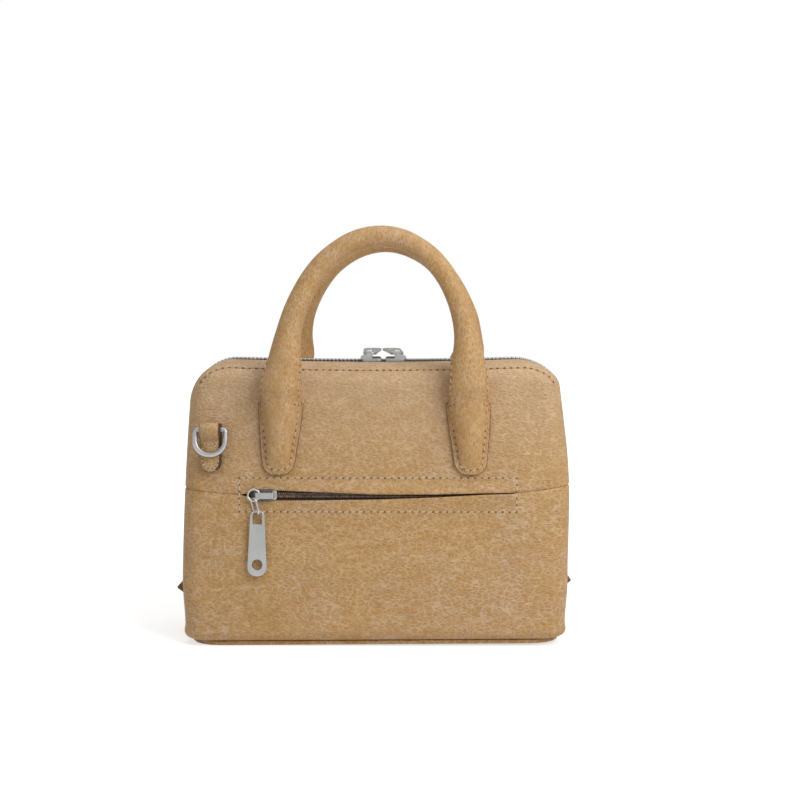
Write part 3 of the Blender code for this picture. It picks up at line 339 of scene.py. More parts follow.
class Shader:
    """A node material made step by step."""

    def __init__(self, name, roughness=0.5, metallic=0.0):
        self.material = bpy.data.materials.new(name)
        self.material.use_nodes = True
        self.tree = self.material.node_tree
        self.surface = self.tree.nodes["Principled BSDF"]
        self.surface.inputs["Roughness"].default_value = roughness
        self.surface.inputs["Metallic"].default_value = metallic

    def add(self, kind, **settings):
        """Add a node and set its fields or its sockets."""
        node = self.tree.nodes.new(kind)
        for key, value in settings.items():
            if hasattr(node, key):
                setattr(node, key, value)
            else:
                node.inputs[key.replace("_", " ").title()].default_value = value
        return node

    def wire(self, source, target):
        """Join two sockets."""
        self.tree.links.new(source, target)

    def place(self, scale=(1.0, 1.0, 1.0)):
        """Object coordinates in metres, stretched by a scale."""
        found = self.add("ShaderNodeTexCoord")
        mapping = self.add("ShaderNodeMapping")
        mapping.inputs["Scale"].default_value = scale
        self.wire(found.outputs["Object"], mapping.inputs["Vector"])
        return mapping.outputs["Vector"]

    def ramp(self, source, stops):
        """Colours along a value, as (position, colour) stops."""
        node = self.add("ShaderNodeValToRGB")
        elements = node.color_ramp.elements
        while len(elements) < len(stops):
            elements.new(0.5)
        for element, (position, colour) in zip(elements, stops):
            element.position = position
            element.color = (*colour, 1.0)
        self.wire(source, node.inputs["Fac"])
        return node.outputs["Color"]

    def blend(self, share, first, second, mode="MIX"):
        """Mix two colours or colour sockets."""
        node = self.tree.nodes.new("ShaderNodeMix")
        node.data_type = "RGBA"
        node.blend_type = mode
        for socket, value in (("Factor", share), ("A", first), ("B", second)):
            # A colour mix holds its factor at 0 and its colours at 6 and 7
            target = node.inputs[{"Factor": 0, "A": 6, "B": 7}[socket]]
            if isinstance(value, bpy.types.NodeSocket):
                self.wire(value, target)
            elif socket == "Factor":
                target.default_value = value
            else:
                target.default_value = (*value, 1.0)
        return node.outputs[2]

    def maths(self, operation, first, second=0.0):
        """Work out one value from two."""
        node = self.add("ShaderNodeMath", operation=operation)
        for index, value in enumerate((first, second)):
            if isinstance(value, bpy.types.NodeSocket):
                self.wire(value, node.inputs[index])
            else:
                node.inputs[index].default_value = value
        return node.outputs["Value"]

    def noise(self, place, scale, detail=2.0, roughness=0.5):
        """A cloud of noise."""
        node = self.tree.nodes.new("ShaderNodeTexNoise")
        node.inputs["Scale"].default_value = scale
        node.inputs["Detail"].default_value = detail
        node.inputs["Roughness"].default_value = roughness
        self.wire(place, node.inputs["Vector"])
        return node

    def cells(self, place, scale, feature="DISTANCE_TO_EDGE"):
        """A pattern of cells."""
        node = self.tree.nodes.new("ShaderNodeTexVoronoi")
        node.feature = feature
        node.inputs["Scale"].default_value = scale
        self.wire(place, node.inputs["Vector"])
        return node

    def bump(self, height, distance, strength=1.0, under=None):
        """Relief from a height, on top of another relief."""
        node = self.tree.nodes.new("ShaderNodeBump")
        node.inputs["Distance"].default_value = distance
        node.inputs["Strength"].default_value = strength
        self.wire(height, node.inputs["Height"])
        if under is not None:
            self.wire(under, node.inputs["Normal"])
        return node.outputs["Normal"]

    def colour(self, value):
        """Set the base colour from a colour or a socket."""
        if isinstance(value, bpy.types.NodeSocket):
            self.wire(value, self.surface.inputs["Base Color"])
        else:
            self.surface.inputs["Base Color"].default_value = (*value, 1.0)

    def roughness(self, value):
        """Set the roughness from a socket."""
        self.wire(value, self.surface.inputs["Roughness"])

    def normal(self, value):
        """Set the relief from a socket."""
        self.wire(value, self.surface.inputs["Normal"])


def pebbled_leather(name, stretch=(0.46, 0.46, 1.0), grain=1.0, relief=1.0, warmth=0.0, painted_top_light=0.0):
    """Milled leather: pebbles drawn out sideways with pale lines between; a share of painted light
    makes it paler and pinker towards the top.
    """
    colours = finish()
    shader = Shader(name, roughness=0.5)
    place = shader.place(stretch)
    plain = shader.place()
    scale = GRAIN_SCALE * grain
    warp = shader.noise(place, scale * 0.55, 2.0)
    bent = shader.add("ShaderNodeVectorMath", operation="MULTIPLY_ADD")
    bent.inputs[1].default_value = grey(GRAIN_WARP / scale)
    shader.wire(warp.outputs["Color"], bent.inputs[0])
    shader.wire(place, bent.inputs[2])
    bent = bent.outputs["Vector"]
    edge = shader.cells(bent, scale).outputs["Distance"]
    small = shader.cells(bent, scale * 2.3).outputs["Distance"]
    pebble = shader.cells(bent, scale, "F1").outputs["Color"]
    cloud = shader.noise(plain, 22.0, 3.0, 0.55).outputs["Fac"]
    fleck = shader.noise(plain, 900.0, 2.0, 0.7).outputs["Fac"]
    tone = shader.ramp(pebble, [(0.1, colours.leather_warm), (0.9, colours.leather_mid)])
    line = shader.ramp(edge, [(0.0, WHITE), (0.05, grey(0.8)), (0.20, BLACK)])
    fine = shader.maths("MULTIPLY", shader.ramp(small, [(0.02, WHITE), (0.2, BLACK)]), 0.18)
    patch = shader.noise(place, scale * 0.3, 2.0, 0.6).outputs["Fac"]
    worn = shader.ramp(patch, [(0.35, grey(0.45)), (0.60, WHITE)])
    pale = shader.maths("MULTIPLY", shader.maths("MAXIMUM", line, fine), worn)
    rose = shader.ramp(cloud, [(0.42, BLACK), (0.62, WHITE)])
    # Painted light: above the foot height the grain's lines turn pink and the whole tone fades
    # towards the rose colour, as if lit from above
    if painted_top_light > 0.0:
        parts = shader.add("ShaderNodeSeparateXYZ")
        shader.wire(plain, parts.inputs["Vector"])
        rise = shader.ramp(parts.outputs["Z"], [(TOP_LIGHT_FOOT, BLACK), (TOP_LIGHT_TOP, WHITE)])
        high = shader.maths("MULTIPLY", rise, painted_top_light)
        rose = shader.maths("MAXIMUM", rose, high)
        tone = shader.blend(shader.maths("MULTIPLY", high, 0.62), tone, colours.leather_rose_and_top_light)
    paler = shaded(colours.leather_rose_and_top_light, 1.07)
    tone = shader.blend(pale, tone, shader.blend(rose, colours.leather_pale, paler))
    speck = shader.ramp(fleck, [(0.3, grey(0.92)), (0.7, grey(1.05))])
    tone = shader.blend(0.7, tone, speck, "MULTIPLY")
    if warmth > 0.0:
        tone = shader.blend(warmth, tone, colours.leather_warm)
    shader.colour(tone)
    shader.roughness(shader.ramp(edge, [(0.0, grey(0.60)), (0.3, grey(0.46))]))
    height = shader.ramp(edge, [(0.0, BLACK), (0.16, grey(0.72)), (0.42, WHITE)])
    lower = shader.bump(height, GRAIN_RELIEF * relief, 1.0)
    lower = shader.bump(small, SMALL_RELIEF * relief, 0.8, lower)
    shader.normal(shader.bump(fleck, FLECK_RELIEF, 0.6, lower))
    shader.surface.inputs["Specular IOR Level"].default_value = 0.42
    return shader.material


def speckled(name, roughness, scale, detail, stops, relief=0.0, grit=0.5, sheen=0.0):
    """A finish whose colour and relief both follow one fine noise."""
    shader = Shader(name, roughness=roughness)
    speck = shader.noise(shader.place(), scale, detail, grit).outputs["Fac"]
    shader.colour(shader.ramp(speck, stops))
    if relief > 0.0:
        shader.normal(shader.bump(speck, relief))
    shader.surface.inputs["Sheen Weight"].default_value = sheen
    return shader.material


def painted_edge(name, shade=1.0):
    """Cut edge of leather, painted dark and a little uneven."""
    dark = shaded(finish().edge, shade)
    return speckled(name, 0.55, 380.0, 3.0, [(0.3, dark), (0.8, shaded(dark, 2.2))], 0.00008)


def woven_tape(name, colour, pitch=1400.0):
    """Twill cloth: two crossing sets of fine ribs."""
    shader = Shader(name, roughness=0.85)
    place = shader.place()
    ribs = []
    for direction in ("DIAGONAL", "Z"):
        wave = shader.tree.nodes.new("ShaderNodeTexWave")
        wave.bands_direction = direction
        wave.inputs["Scale"].default_value = pitch / 6.0
        wave.inputs["Distortion"].default_value = 0.6
        wave.inputs["Detail"].default_value = 1.0
        shader.wire(place, wave.inputs["Vector"])
        ribs.append(wave.outputs["Fac"])
    weave = shader.maths("MULTIPLY", ribs[0], ribs[1])
    shader.colour(shader.ramp(weave, [(0.1, colour), (0.8, shaded(colour, 1.9))]))
    shader.normal(shader.bump(weave, 0.00006))
    shader.surface.inputs["Sheen Weight"].default_value = 0.15
    return shader.material


def satin_metal(name, roughness=0.38, tumble=1.0, shade=1.0):
    """Nickel plate with a soft tumbled finish."""
    shader = Shader(name, roughness=roughness, metallic=1.0)
    place = shader.place()
    speck = shader.noise(place, 1500.0, 2.0, 0.6).outputs["Fac"]
    cloud = shader.noise(place, 140.0, 2.0).outputs["Fac"]
    base = shaded(finish().metal, shade)
    shader.colour(shader.ramp(cloud, [(0.3, shaded(base, 0.96)), (0.7, shaded(base, 1.03))]))
    gloss = [(0.3, grey(roughness - 0.03)), (0.7, grey(roughness + 0.05))]
    shader.roughness(shader.ramp(cloud, gloss))
    shader.normal(shader.bump(speck, 0.00002 * tumble, 0.6))
    return shader.material


def sewing_thread(name, colour):
    """Twisted thread, pale, with a fine ply."""
    stops = [(0.3, shaded(colour, 0.72)), (0.7, colour)]
    return speckled(name, 0.7, 2600.0, 1.0, stops, 0.00005, sheen=0.2)


def needle_hole_shade(name):
    """Dark bead beside a stitch: painted shade in the needle's puncture."""
    edge = finish().edge
    return speckled(name, 0.8, 1500.0, 1.0, [(0.35, shaded(edge, 1.1)), (0.75, shaded(edge, 3.0))])


def moulded_coil(name):
    """Dark plastic of the pocket's zip."""
    stops = [(0.3, (0.130, 0.080, 0.055)), (0.7, (0.360, 0.270, 0.200))]
    return speckled(name, 0.42, 700.0, 1.0, stops, 0.00002)


def stiffener_board(name):
    """Pressed fibre of the base board."""
    stops = [(0.3, (0.10, 0.085, 0.07)), (0.7, (0.17, 0.145, 0.12))]
    return speckled(name, 0.9, 600.0, 4.0, stops, 0.00005, grit=0.7)


MATERIALS = {}


def make_materials():
    """Make every material once; a piece names it by its word."""
    colours = finish()
    MATERIALS.update(
        leather=pebbled_leather("body_leather", painted_top_light=0.75),
        roll=pebbled_leather("handle_leather", (1.0, 1.0, 0.4), 1.15, 0.5, 0.12),
        tab=pebbled_leather("tab_leather", (0.8, 0.8, 1.0), 1.2, 0.7),
        edge=painted_edge("painted_edge"),
        dark_edge=painted_edge("dark_edge", 0.35),
        tape=woven_tape("zip_tape", colours.tape),
        cloth=woven_tape("lining_cloth", colours.cloth, 1800.0),
        metal=satin_metal("satin_nickel"),
        bright=satin_metal("bright_nickel", 0.24, 0.5),
        # Painted shade: this copy of the nickel is darkened to 0.30 for slider parts that lie in
        # shadow
        dull=satin_metal("shaded_dull_nickel", 0.42, 1.0, 0.30),
        ring=satin_metal("ring_nickel", 0.46, 0.4, 0.92),
        thread=sewing_thread("sewing_thread", colours.thread),
        tan_thread=sewing_thread("tan_thread", colours.leather_pale),
        hole=needle_hole_shade("needle_hole_shade"),
        coil=moulded_coil("moulded_coil"),
        board=stiffener_board("stiffener_board"),
        core=woven_tape("cotton_core", (0.35, 0.31, 0.25), 900.0),
    )


# The body's shape

# Where the right side and its upper corner bulge, where the foot tucks in, and how each fades
SWELL_HEIGHT = 98.0 * MM
SWELL_REACH = 62.0 * MM
SIDE_START = 65.0 * MM
SIDE_FADE = 45.0 * MM
CORNER_HEIGHT = 155.0 * MM
CORNER_REACH = 13.0 * MM
CORNER_START = 70.0 * MM
CORNER_FADE = 28.0 * MM
TUCK_TOP = 38.0 * MM
TUCK_FADE = 30.0 * MM
TUCK_FOOT = 1.0 * MM
TUCK_FOOT_FADE = 12.0 * MM
LEAN_TOP = 60.0 * MM
DIP_REACH = 26.0 * MM
DIP_HALF = 90.0 * MM
BULGE_FADE = 18.0 * MM
EVEN_DROP = 22.0 * MM
EVEN_FADE = 15.0 * MM
ZIP_CLOSED = 0.15 * MM
# Half the distance over which a slope is measured
PROBE = 0.5 * MM
SKIN_PROBE = 0.4 * MM
# The dents fade out at the foot, the top, the seam and the sides, and under the handles and rings
FOOT_FADE = 14.0 * MM
TOP_FADE = 16.0 * MM
SEAM_FADE = 9.0 * MM
SIDE_EDGE_FADE = 10.0 * MM
UNDER_HANDLE = (55.0 * MM, 125.0 * MM)
HANDLE_CLEAR = 9.0 * MM
UNDER_RING = (95.0 * MM, 112.0 * MM)
RING_CLEAR = 8.0 * MM


def side_half(height):
    """Half the body's width at a height, its top corners left square."""
    s = shape()
    corner_start = s.body_height - s.corner_radius
    share = (height - s.widest_height) / (corner_start - s.widest_height)
    share = max(0.0, min(1.0, share))
    return s.body_width / 2.0 - (s.body_width - s.shoulder_width) / 2.0 * share * share


def depth_half(height):
    """Half the body's depth at a height, its shoulder left square."""
    s = shape()
    share = height / (s.body_height - s.shoulder_height)
    return mix(s.base_depth, s.shoulder_depth, share) / 2.0


def edge_at(height):
    """How far the leather's edge lies from the middle plane."""
    s = shape()
    share = smooth((height - s.zip_end) / s.zip_fade)
    return mix(ZIP_CLOSED, s.zip_edge, share)


def level_size(height):
    """Half width and half depth of the skin at a height."""
    s = shape()
    corner_start = s.body_height - s.corner_radius
    shoulder_start = s.body_height - s.shoulder_height
    width = side_half(min(height, corner_start))
    depth = depth_half(min(height, shoulder_start))
    if height > corner_start:
        rise = min(height - corner_start, s.corner_radius)
        width += math.sqrt(s.corner_radius ** 2 - rise * rise) - s.corner_radius
    if height > shoulder_start:
        share = min((height - shoulder_start) / s.shoulder_height, 1.0)
        depth = s.zip_edge + (depth - s.zip_edge) * math.sqrt(1.0 - share * share)
    fold_top = s.foot_height + s.base_fold
    if height < fold_top:
        drop = min(fold_top - height, s.base_fold)
        tuck = s.base_fold - math.sqrt(s.base_fold ** 2 - drop * drop)
        width -= tuck
        depth -= tuck
    return width, depth


def skin_runs(height):
    """Lengths of flat face, fold and side, then half width, half depth and fold radius."""
    s = shape()
    width, depth = level_size(height)
    radius = max(min(s.side_fold, depth - s.zip_edge), 0.0)
    return width - radius, math.pi / 2.0 * radius, depth - radius - s.zip_edge, width, depth, radius


def swell(x, height, straight):
    """How far the face swells, fading out towards its fold."""
    s = shape()
    fade = smooth((straight - abs(x)) / BULGE_FADE)
    return s.face_bulge * math.sin(math.pi * height / s.body_height) * fade


def column_along(column, height):
    """Where a column lies along the skin; near the top the columns spread evenly."""
    run, part, share = column
    s = shape()
    runs = skin_runs(height)[:3]
    by_run = sum(runs[:run]) + runs[run] * part
    by_length = share * sum(runs)
    start = s.body_height - EVEN_DROP
    return mix(by_run, by_length, smooth((height - start) / EVEN_FADE))


def skin_point(column, sign, height, side):
    """A point of the plain skin in one of its columns."""
    straight, arc, rest, width, depth, radius = skin_runs(height)
    along = column_along(column, height)
    if along <= straight:
        x = along
        out = depth + swell(x, height, straight)
    elif along < straight + arc:
        angle = (along - straight) / radius
        x = straight + radius * math.sin(angle)
        out = depth - radius + radius * math.cos(angle)
    else:
        x = width
        part = (along - straight - arc) / rest if rest > 0.0 else 1.0
        out = mix(depth - radius, edge_at(height), part)
    return Vector((sign * x, side * out, height))


def face_out(height):
    """How far the flat of the face lies from the middle plane."""
    return level_size(height)[1] + swell(0.0, height, side_half(height))


def face_normal(height, side):
    """Outward direction of the face near its middle."""
    step = PROBE
    slope = (face_out(height + step) - face_out(height - step)) / (2.0 * step)
    return Vector((0.0, side, -slope)).normalized()


def on_skin(x, height, side):
    """The point of the dressed front or back at a distance along X, round the fold too."""
    straight, *_, depth, radius = skin_runs(height)
    away = abs(x)
    if away <= straight:
        out = depth + swell(x, height, straight)
    else:
        angle = math.asin(min((away - straight) / radius, 1.0))
        out = depth - radius + radius * math.cos(angle)
    if side == FRONT:
        out += lip_lift(x, height - shape().seam_height)
    place = Vector((x, side * out, height))
    return place + soft_shift(place, side) + top_dip(place)


def skin_normal(x, height, side):
    """Outward direction of the dressed front or back."""
    step = SKIN_PROBE
    across = on_skin(x + step, height, side) - on_skin(x - step, height, side)
    up = on_skin(x, height + step, side) - on_skin(x, height - step, side)
    return (across.cross(up) * -side).normalized()


def soft_shift(place, side):
    """Soft dents and the sag of the leather, fading to nothing at seams, edges and fittings."""
    s = shape()
    x, y, z = place
    wave = noise.noise(Vector((x * 17.0, y * 17.0 + side * 5.0, z * 21.0)))
    wave += 0.5 * noise.noise(Vector((x * 41.0 + 9.0, y * 41.0, z * 47.0)))
    keep = smooth((z - s.foot_height) / FOOT_FADE) * smooth((s.body_height - z) / TOP_FADE)
    keep *= smooth(abs(z - s.seam_height) / SEAM_FADE) if side == FRONT else 1.0
    for across in (LEFT, RIGHT):
        reach = math.hypot(x - across * UNDER_HANDLE[0], (z - UNDER_HANDLE[1]) * 0.5)
        keep *= smooth((reach - HANDLE_CLEAR) / HANDLE_CLEAR)
    reach = math.hypot(x - side * UNDER_RING[0], z - UNDER_RING[1])
    keep *= smooth((reach - RING_CLEAR) / RING_CLEAR)
    width = side_half(z)
    keep *= smooth((width - abs(x)) / SIDE_EDGE_FADE)
    push = s.waviness * wave * keep
    return rest_shift(place) + Vector((0.0, side * push, 0.0))


def hump(height, middle, reach):
    """1 at the middle height, easing to 0 at the reach above and below it."""
    return smooth(1.0 - min(abs(height - middle) / reach, 1.0))


def rest_shift(place):
    """How the bag stands: its right side bulges, its foot tucks in and its base leans up."""
    s = shape()
    x, y, z = place
    out = s.side_swell * hump(z, SWELL_HEIGHT, SWELL_REACH) * smooth((x - SIDE_START) / SIDE_FADE)
    corner = s.corner_swell * hump(z, CORNER_HEIGHT, CORNER_REACH)
    out += corner * smooth((x - CORNER_START) / CORNER_FADE)
    tuck = s.side_tuck * smooth((TUCK_TOP - z) / TUCK_FADE)
    tuck *= smooth((z - TUCK_FOOT) / TUCK_FOOT_FADE)
    tuck *= smooth((abs(x) - SIDE_START) / SIDE_FADE)
    lean = s.base_lean * (x / s.body_width + 0.5) * (0.5 - y / s.base_depth)
    lean *= max(1.0 - z / LEAN_TOP, 0.0)
    return Vector((out - math.copysign(tuck, x), 0.0, lean))


def top_dip(place):
    """The top edge hangs a little between its corners."""
    s = shape()
    high = smooth((place.z - (s.body_height - DIP_REACH)) / DIP_REACH)
    across = max(1.0 - (place.x / DIP_HALF) ** 2, 0.0)
    return Vector((0.0, 0.0, -s.top_sag * high * across))


# The leather panels

COLUMNS_FACE = 74
COLUMNS_FOLD = 10
COLUMNS_SIDE = 9
SEAM_ROLL = 1.5 * MM
SEAM_DIP = 0.65 * MM
LIP_PROUD = 1.9 * MM
LIP_REACH = 7.5 * MM
LIP_START = -62.0 * MM
LIP_RAMP = 20.0 * MM
LOWER_START = 15.0 * MM
LOWER_PROUD = 1.0 * MM
LOWER_END_PROUD = 0.2 * MM
UPPER_END_PROUD = 0.35 * MM
SLOT_END = 1.0 * MM
SLOT_END_FADE = 3.0 * MM
ROW_STEP = 1.7 * MM
CLOSE_SHARE = 0.28
CLOSE_REACH = 2.2 * MM
ROW_GAP = 0.06 * MM
SLOT_FADE = 16.0 * MM
PANEL_ROUND = 0.45 * MM


def half_columns():
    """Columns from the middle of the face out to the zip: (run, part of it, share of the whole)."""
    runs = skin_runs(shape().seam_height)[:3]
    found = [(0, step / COLUMNS_FACE) for step in range(COLUMNS_FACE + 1)]
    found += [(1, (step + 1) / COLUMNS_FOLD) for step in range(COLUMNS_FOLD)]
    found += [(2, (step + 1) / COLUMNS_SIDE) for step in range(COLUMNS_SIDE)]
    columns = []
    for run, part in found:
        share = (sum(runs[:run]) + runs[run] * part) / sum(runs)
        columns.append((run, part, share))
    return columns


def spaced(low, high, step, ends=()):
    """Heights from low to high about a step apart, closer beside the given ends."""
    heights = []
    place = low
    while place < high - step * 0.3:
        heights.append(place)
        near = min([abs(place - end) for end in ends] or [high])
        place += step * (CLOSE_SHARE if near < CLOSE_REACH else 1.0)
    heights.append(high)
    return heights


# Along X, in millimetres: the seam's height beside its level, and half the height of the open slot
SEAM_LINE = (
    (-112.0, 3.0), (-104.0, 2.3), (-92.0, 1.0), (-76.0, 0.0), (-40.0, -0.5), (3.0, -1.0),
    (36.0, -0.3), (62.0, 0.8), (80.0, 1.3), (92.0, 2.3), (104.0, 4.2), (112.0, 4.9),
)
SLOT_LINE = (
    (-77.0, 0.3), (-72.5, 0.9), (-69.5, 2.2), (-66.0, 2.7), (-55.0, 2.8), (-35.0, 2.4), (3.0, 1.4),
    (36.0, 0.8), (60.0, 0.42), (80.3, 0.22),
)


def along_table(table, x):
    """Read a table of (x, value) pairs in millimetres, eased between its points."""
    x /= MM
    if x <= table[0][0]:
        return table[0][1] * MM
    for (start, low), (end, high) in zip(table, table[1:]):
        if x <= end:
            return mix(low, high, (x - start) / (end - start)) * MM
    return table[-1][1] * MM


def slot_lips(x):
    """Heights of the lower and upper lip above the seam level, and how open the slot is there."""
    opened = 1.0 - smooth((abs(x - POCKET_SHIFT) - shape().pocket_half + SLOT_END) / SLOT_END_FADE)
    middle = along_table(SEAM_LINE, x)
    half = along_table(SLOT_LINE, x) * opened
    return middle - half, middle + half, opened


def lip_lift(x, rise):
    """The leather beside the slot stands proud, so that the slider runs beneath it."""
    lower, upper, opened = slot_lips(x)
    away = max(rise - upper, lower - rise, 0.0)
    along = smooth((x - LIP_START) / LIP_RAMP)
    if rise > (lower + upper) / 2.0:
        height = mix(UPPER_END_PROUD, LIP_PROUD, along)
    else:
        low_proud = mix(LOWER_PROUD, LIP_PROUD, smooth((x - LOWER_START) / LIP_RAMP))
        height = mix(LOWER_END_PROUD, low_proud, along)
    return height * opened * (1.0 - smooth(away / LIP_REACH))


def inward_at(run, sign, side):
    """Where the seam turns in: inwards on the face, across on the side and both on the fold."""
    if run == 0:
        return Vector((0.0, -side, 0.0))
    if run == 1:
        return Vector((-sign * 0.7, -side * 0.7, 0.0))
    return Vector((-sign, 0.0, 0.0))


def panel_rows(side, part, slotted):
    """Rows of one panel: part is -1 below the seam and 1 above it."""
    s = shape()
    half = half_columns()
    columns = [(column, LEFT) for column in reversed(half[1:])]
    columns += [(column, RIGHT) for column in half]
    if part < 0:
        levels = []
        top = s.foot_height + s.base_fold
        for step in range(9):
            levels.append(top - s.base_fold * math.cos(math.pi / 2.0 * step / 9))
        edge = s.seam_height - ROW_GAP
        levels += spaced(top, edge, ROW_STEP, (edge,))
    else:
        corner_start = s.body_height - s.corner_radius
        edge = s.seam_height + ROW_GAP
        levels = spaced(edge, corner_start, ROW_STEP, (edge,))[:-1]
        for step in range(19):
            levels.append(corner_start + s.corner_radius * math.sin(math.pi / 2.0 * step / 18))
    rows = []
    for level in levels:
        row = []
        for column, sign in columns:
            height = level
            x_seam = sign * column_along(column, s.seam_height)
            proud = 0.0
            if slotted:
                lower, upper = slot_lips(x_seam)[:2]
                lip = lower if part < 0 else upper
                if column[0] == 2:
                    lip *= 1.0 - smooth(column[1])
                near = 1.0 - smooth(abs(level - s.seam_height) / SLOT_FADE)
                height = level + lip * near
                proud = lip_lift(x_seam, height - s.seam_height)
            place = skin_point(column, sign, height, side)
            turned = abs(level - s.seam_height)
            dip = SEAM_DIP * (1.0 - min(turned / SEAM_ROLL, 1.0)) ** 2
            inward = inward_at(column[0], sign, side)
            place = place + inward * dip + Vector((0.0, side * proud, 0.0))
            place = place + soft_shift(place, side) + top_dip(place)
            row.append(place)
        rows.append(row)
    return rows


def make_panel(node, side, part, slotted=False):
    """One leather shell with its thickness and rounded edges."""
    rows = panel_rows(side, part, slotted)
    data = grid_data(rows, flip=side == BACK)
    mesh = to_mesh(node + "_shell", data)
    panel = link(node + "_shell", mesh, MATERIALS["leather"], MATERIALS["edge"])
    wall = panel.modifiers.new("wall", "SOLIDIFY")
    wall.thickness = shape().leather
    wall.offset = -1.0
    wall.use_even_offset = True
    wall.material_offset_rim = 0
    rounder = panel.modifiers.new("rounder", "BEVEL")
    rounder.width = PANEL_ROUND
    rounder.segments = 2
    rounder.limit_method = "ANGLE"
    rounder.angle_limit = math.radians(60.0)
    plain_mesh(panel)
    panel.data.shade_smooth()
    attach(panel, "bag")
    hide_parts(node)


class SATCHEL_OT_panels(bpy.types.Operator):
    """Make the four soft leather shells of the body"""

    bl_idname = "satchel.panels"
    bl_label = "Leather Panels"

    def execute(self, context):
        make_panel("front_lower_panel", FRONT, -1, slotted=True)
        make_panel("front_upper_panel", FRONT, 1, slotted=True)
        make_panel("back_lower_panel", BACK, -1)
        make_panel("back_upper_panel", BACK, 1)
        return {"FINISHED"}


# The rolled handles and their tabs

HANDLE_SPREAD = 52.2 * MM
HANDLE_FLARE = 1.6 * MM
HANDLE_RISE = 72.4 * MM
SPRING_DROP = 2.0 * MM
HINGE_DROP = 12.7 * MM
HANDLE_OUT = 36.2 * MM
HANDLE_LEAN = 5.0 * MM
HANDLE_BASE_RADIUS = 8.6 * MM
HANDLE_TOP_RADIUS = 5.95 * MM
HANDLE_SWAY = 3.5 * MM
BACK_SWAY = 4.9 * MM
BACK_SPREAD = 0.045
SWAY_POWER = 0.6
BACK_SPREAD_UP = 0.5
BACK_SWAY_UP = 0.22
LEG_STEPS = 5
LUMP_HEIGHT = 0.25 * MM
CORD_INSET = 2.2 * MM
BEND_DROPS = (21.0 * MM, 3.0 * MM)
# Half width of the leg where it comes out of its tab, in millimetres by height
LEG_TABLE = (
    (140.4, 11.3), (144.0, 11.4), (150.0, 11.4), (156.0, 11.1), (160.0, 10.65), (163.0, 10.1),
    (166.5, 9.3), (170.0, 8.65), (173.6, 8.05), (177.0, 7.6), (180.5, 7.25), (186.0, 6.9),
)
TAB_DROP = 66.0 * MM
TAB_WIDTH = 26.0 * MM
TAB_TIP_WIDTH = 17.6 * MM
TAB_SPLAY = 1.4 * MM
TAB_TIP_LENGTH = 9.0 * MM
TAB_FLAT = 2.0 * MM
TAB_GAP = 0.25 * MM
TAB_LIP = 0.42 * MM
TAB_SEW_INSET = 2.7 * MM
TAB_TIP_RAMP = 13.0 * MM
TAB_NECK = 1.6 * MM
TAB_MARGIN = 0.1 * MM
TAB_ROWS = 1.3 * MM
RIM_DROP = 0.4 * MM
LEG_START = 0.6 * MM
ROLL_TIP_RISE = 0.5 * MM
ROLL_FOOT_RISE = 5.0 * MM
ROLL_GAIN = 7.0 * MM
BORDER_FOOT = 3.1 * MM
BORDER_LOSS = 1.3 * MM
BORDER_STEP = 0.25 * MM
BACK_ROUND = 0.2 * MM
FLANGE_DROP = 24.6 * MM
TUBE_DROP = 15.0 * MM
# Faces of a tab's outline that show the painted cut edge; the front chamfers among them are painted
# shade along the edge too
EDGE_AND_SHADE_FACES = (28, 29, 30, 41, 42, 43)
ROLL_POINTS = 25
FLAT_POINTS = 23
ARCH_RINGS = 90


def below_top(drop):
    """The height at a distance below the top edge."""
    return shape().body_height - drop


def bend_zone(side):
    """Two points out at the handle's distance from the middle plane, at the two drops below the top
    edge.
    """
    return [(0.0, side * HANDLE_OUT, below_top(drop)) for drop in BEND_DROPS]


def tab_span(height):
    """Share of the way up the tab."""
    bottom = below_top(TAB_DROP)
    return (height - bottom) / (below_top(TUBE_DROP) - bottom)


def tab_half(height):
    """Half width of the tab's outline, its tip rounded."""
    bottom = below_top(TAB_DROP)
    half = mix(TAB_TIP_WIDTH, TAB_WIDTH, smooth(tab_span(height) + 0.15)) / 2.0
    if height < bottom + TAB_TIP_LENGTH:
        drop = 1.0 - (height - bottom) / TAB_TIP_LENGTH
        half *= max(1.0 - min(drop, 1.0) ** 3.0, 0.0) ** 0.42
    return half


def tab_centre(across, height):
    """Middle of a tab along X; the tabs splay a little towards their tips."""
    return across * (HANDLE_SPREAD + HANDLE_FLARE + TAB_SPLAY * (1.0 - smooth(tab_span(height))))


def tab_roll(height):
    """Half width and rise of the roll down the middle of the tab."""
    half = tab_half(height)
    span = tab_span(height)
    tip = smooth((height - below_top(TAB_DROP)) / TAB_TIP_RAMP)
    rise = mix(ROLL_TIP_RISE, ROLL_FOOT_RISE, tip) + ROLL_GAIN * smooth(span * 1.1 - 0.05)
    border = BORDER_FOOT - BORDER_LOSS * smooth(span * 1.6 - 0.6)
    return max(half - border, half * 0.45), rise


def tab_away(x, height):
    """How far the tab's outer surface stands off the face, at a distance from its middle."""
    roll, rise = tab_roll(height)
    share = min(abs(x) / roll, 1.0)
    return TAB_FLAT + rise * (1.0 - share * share) ** 0.41


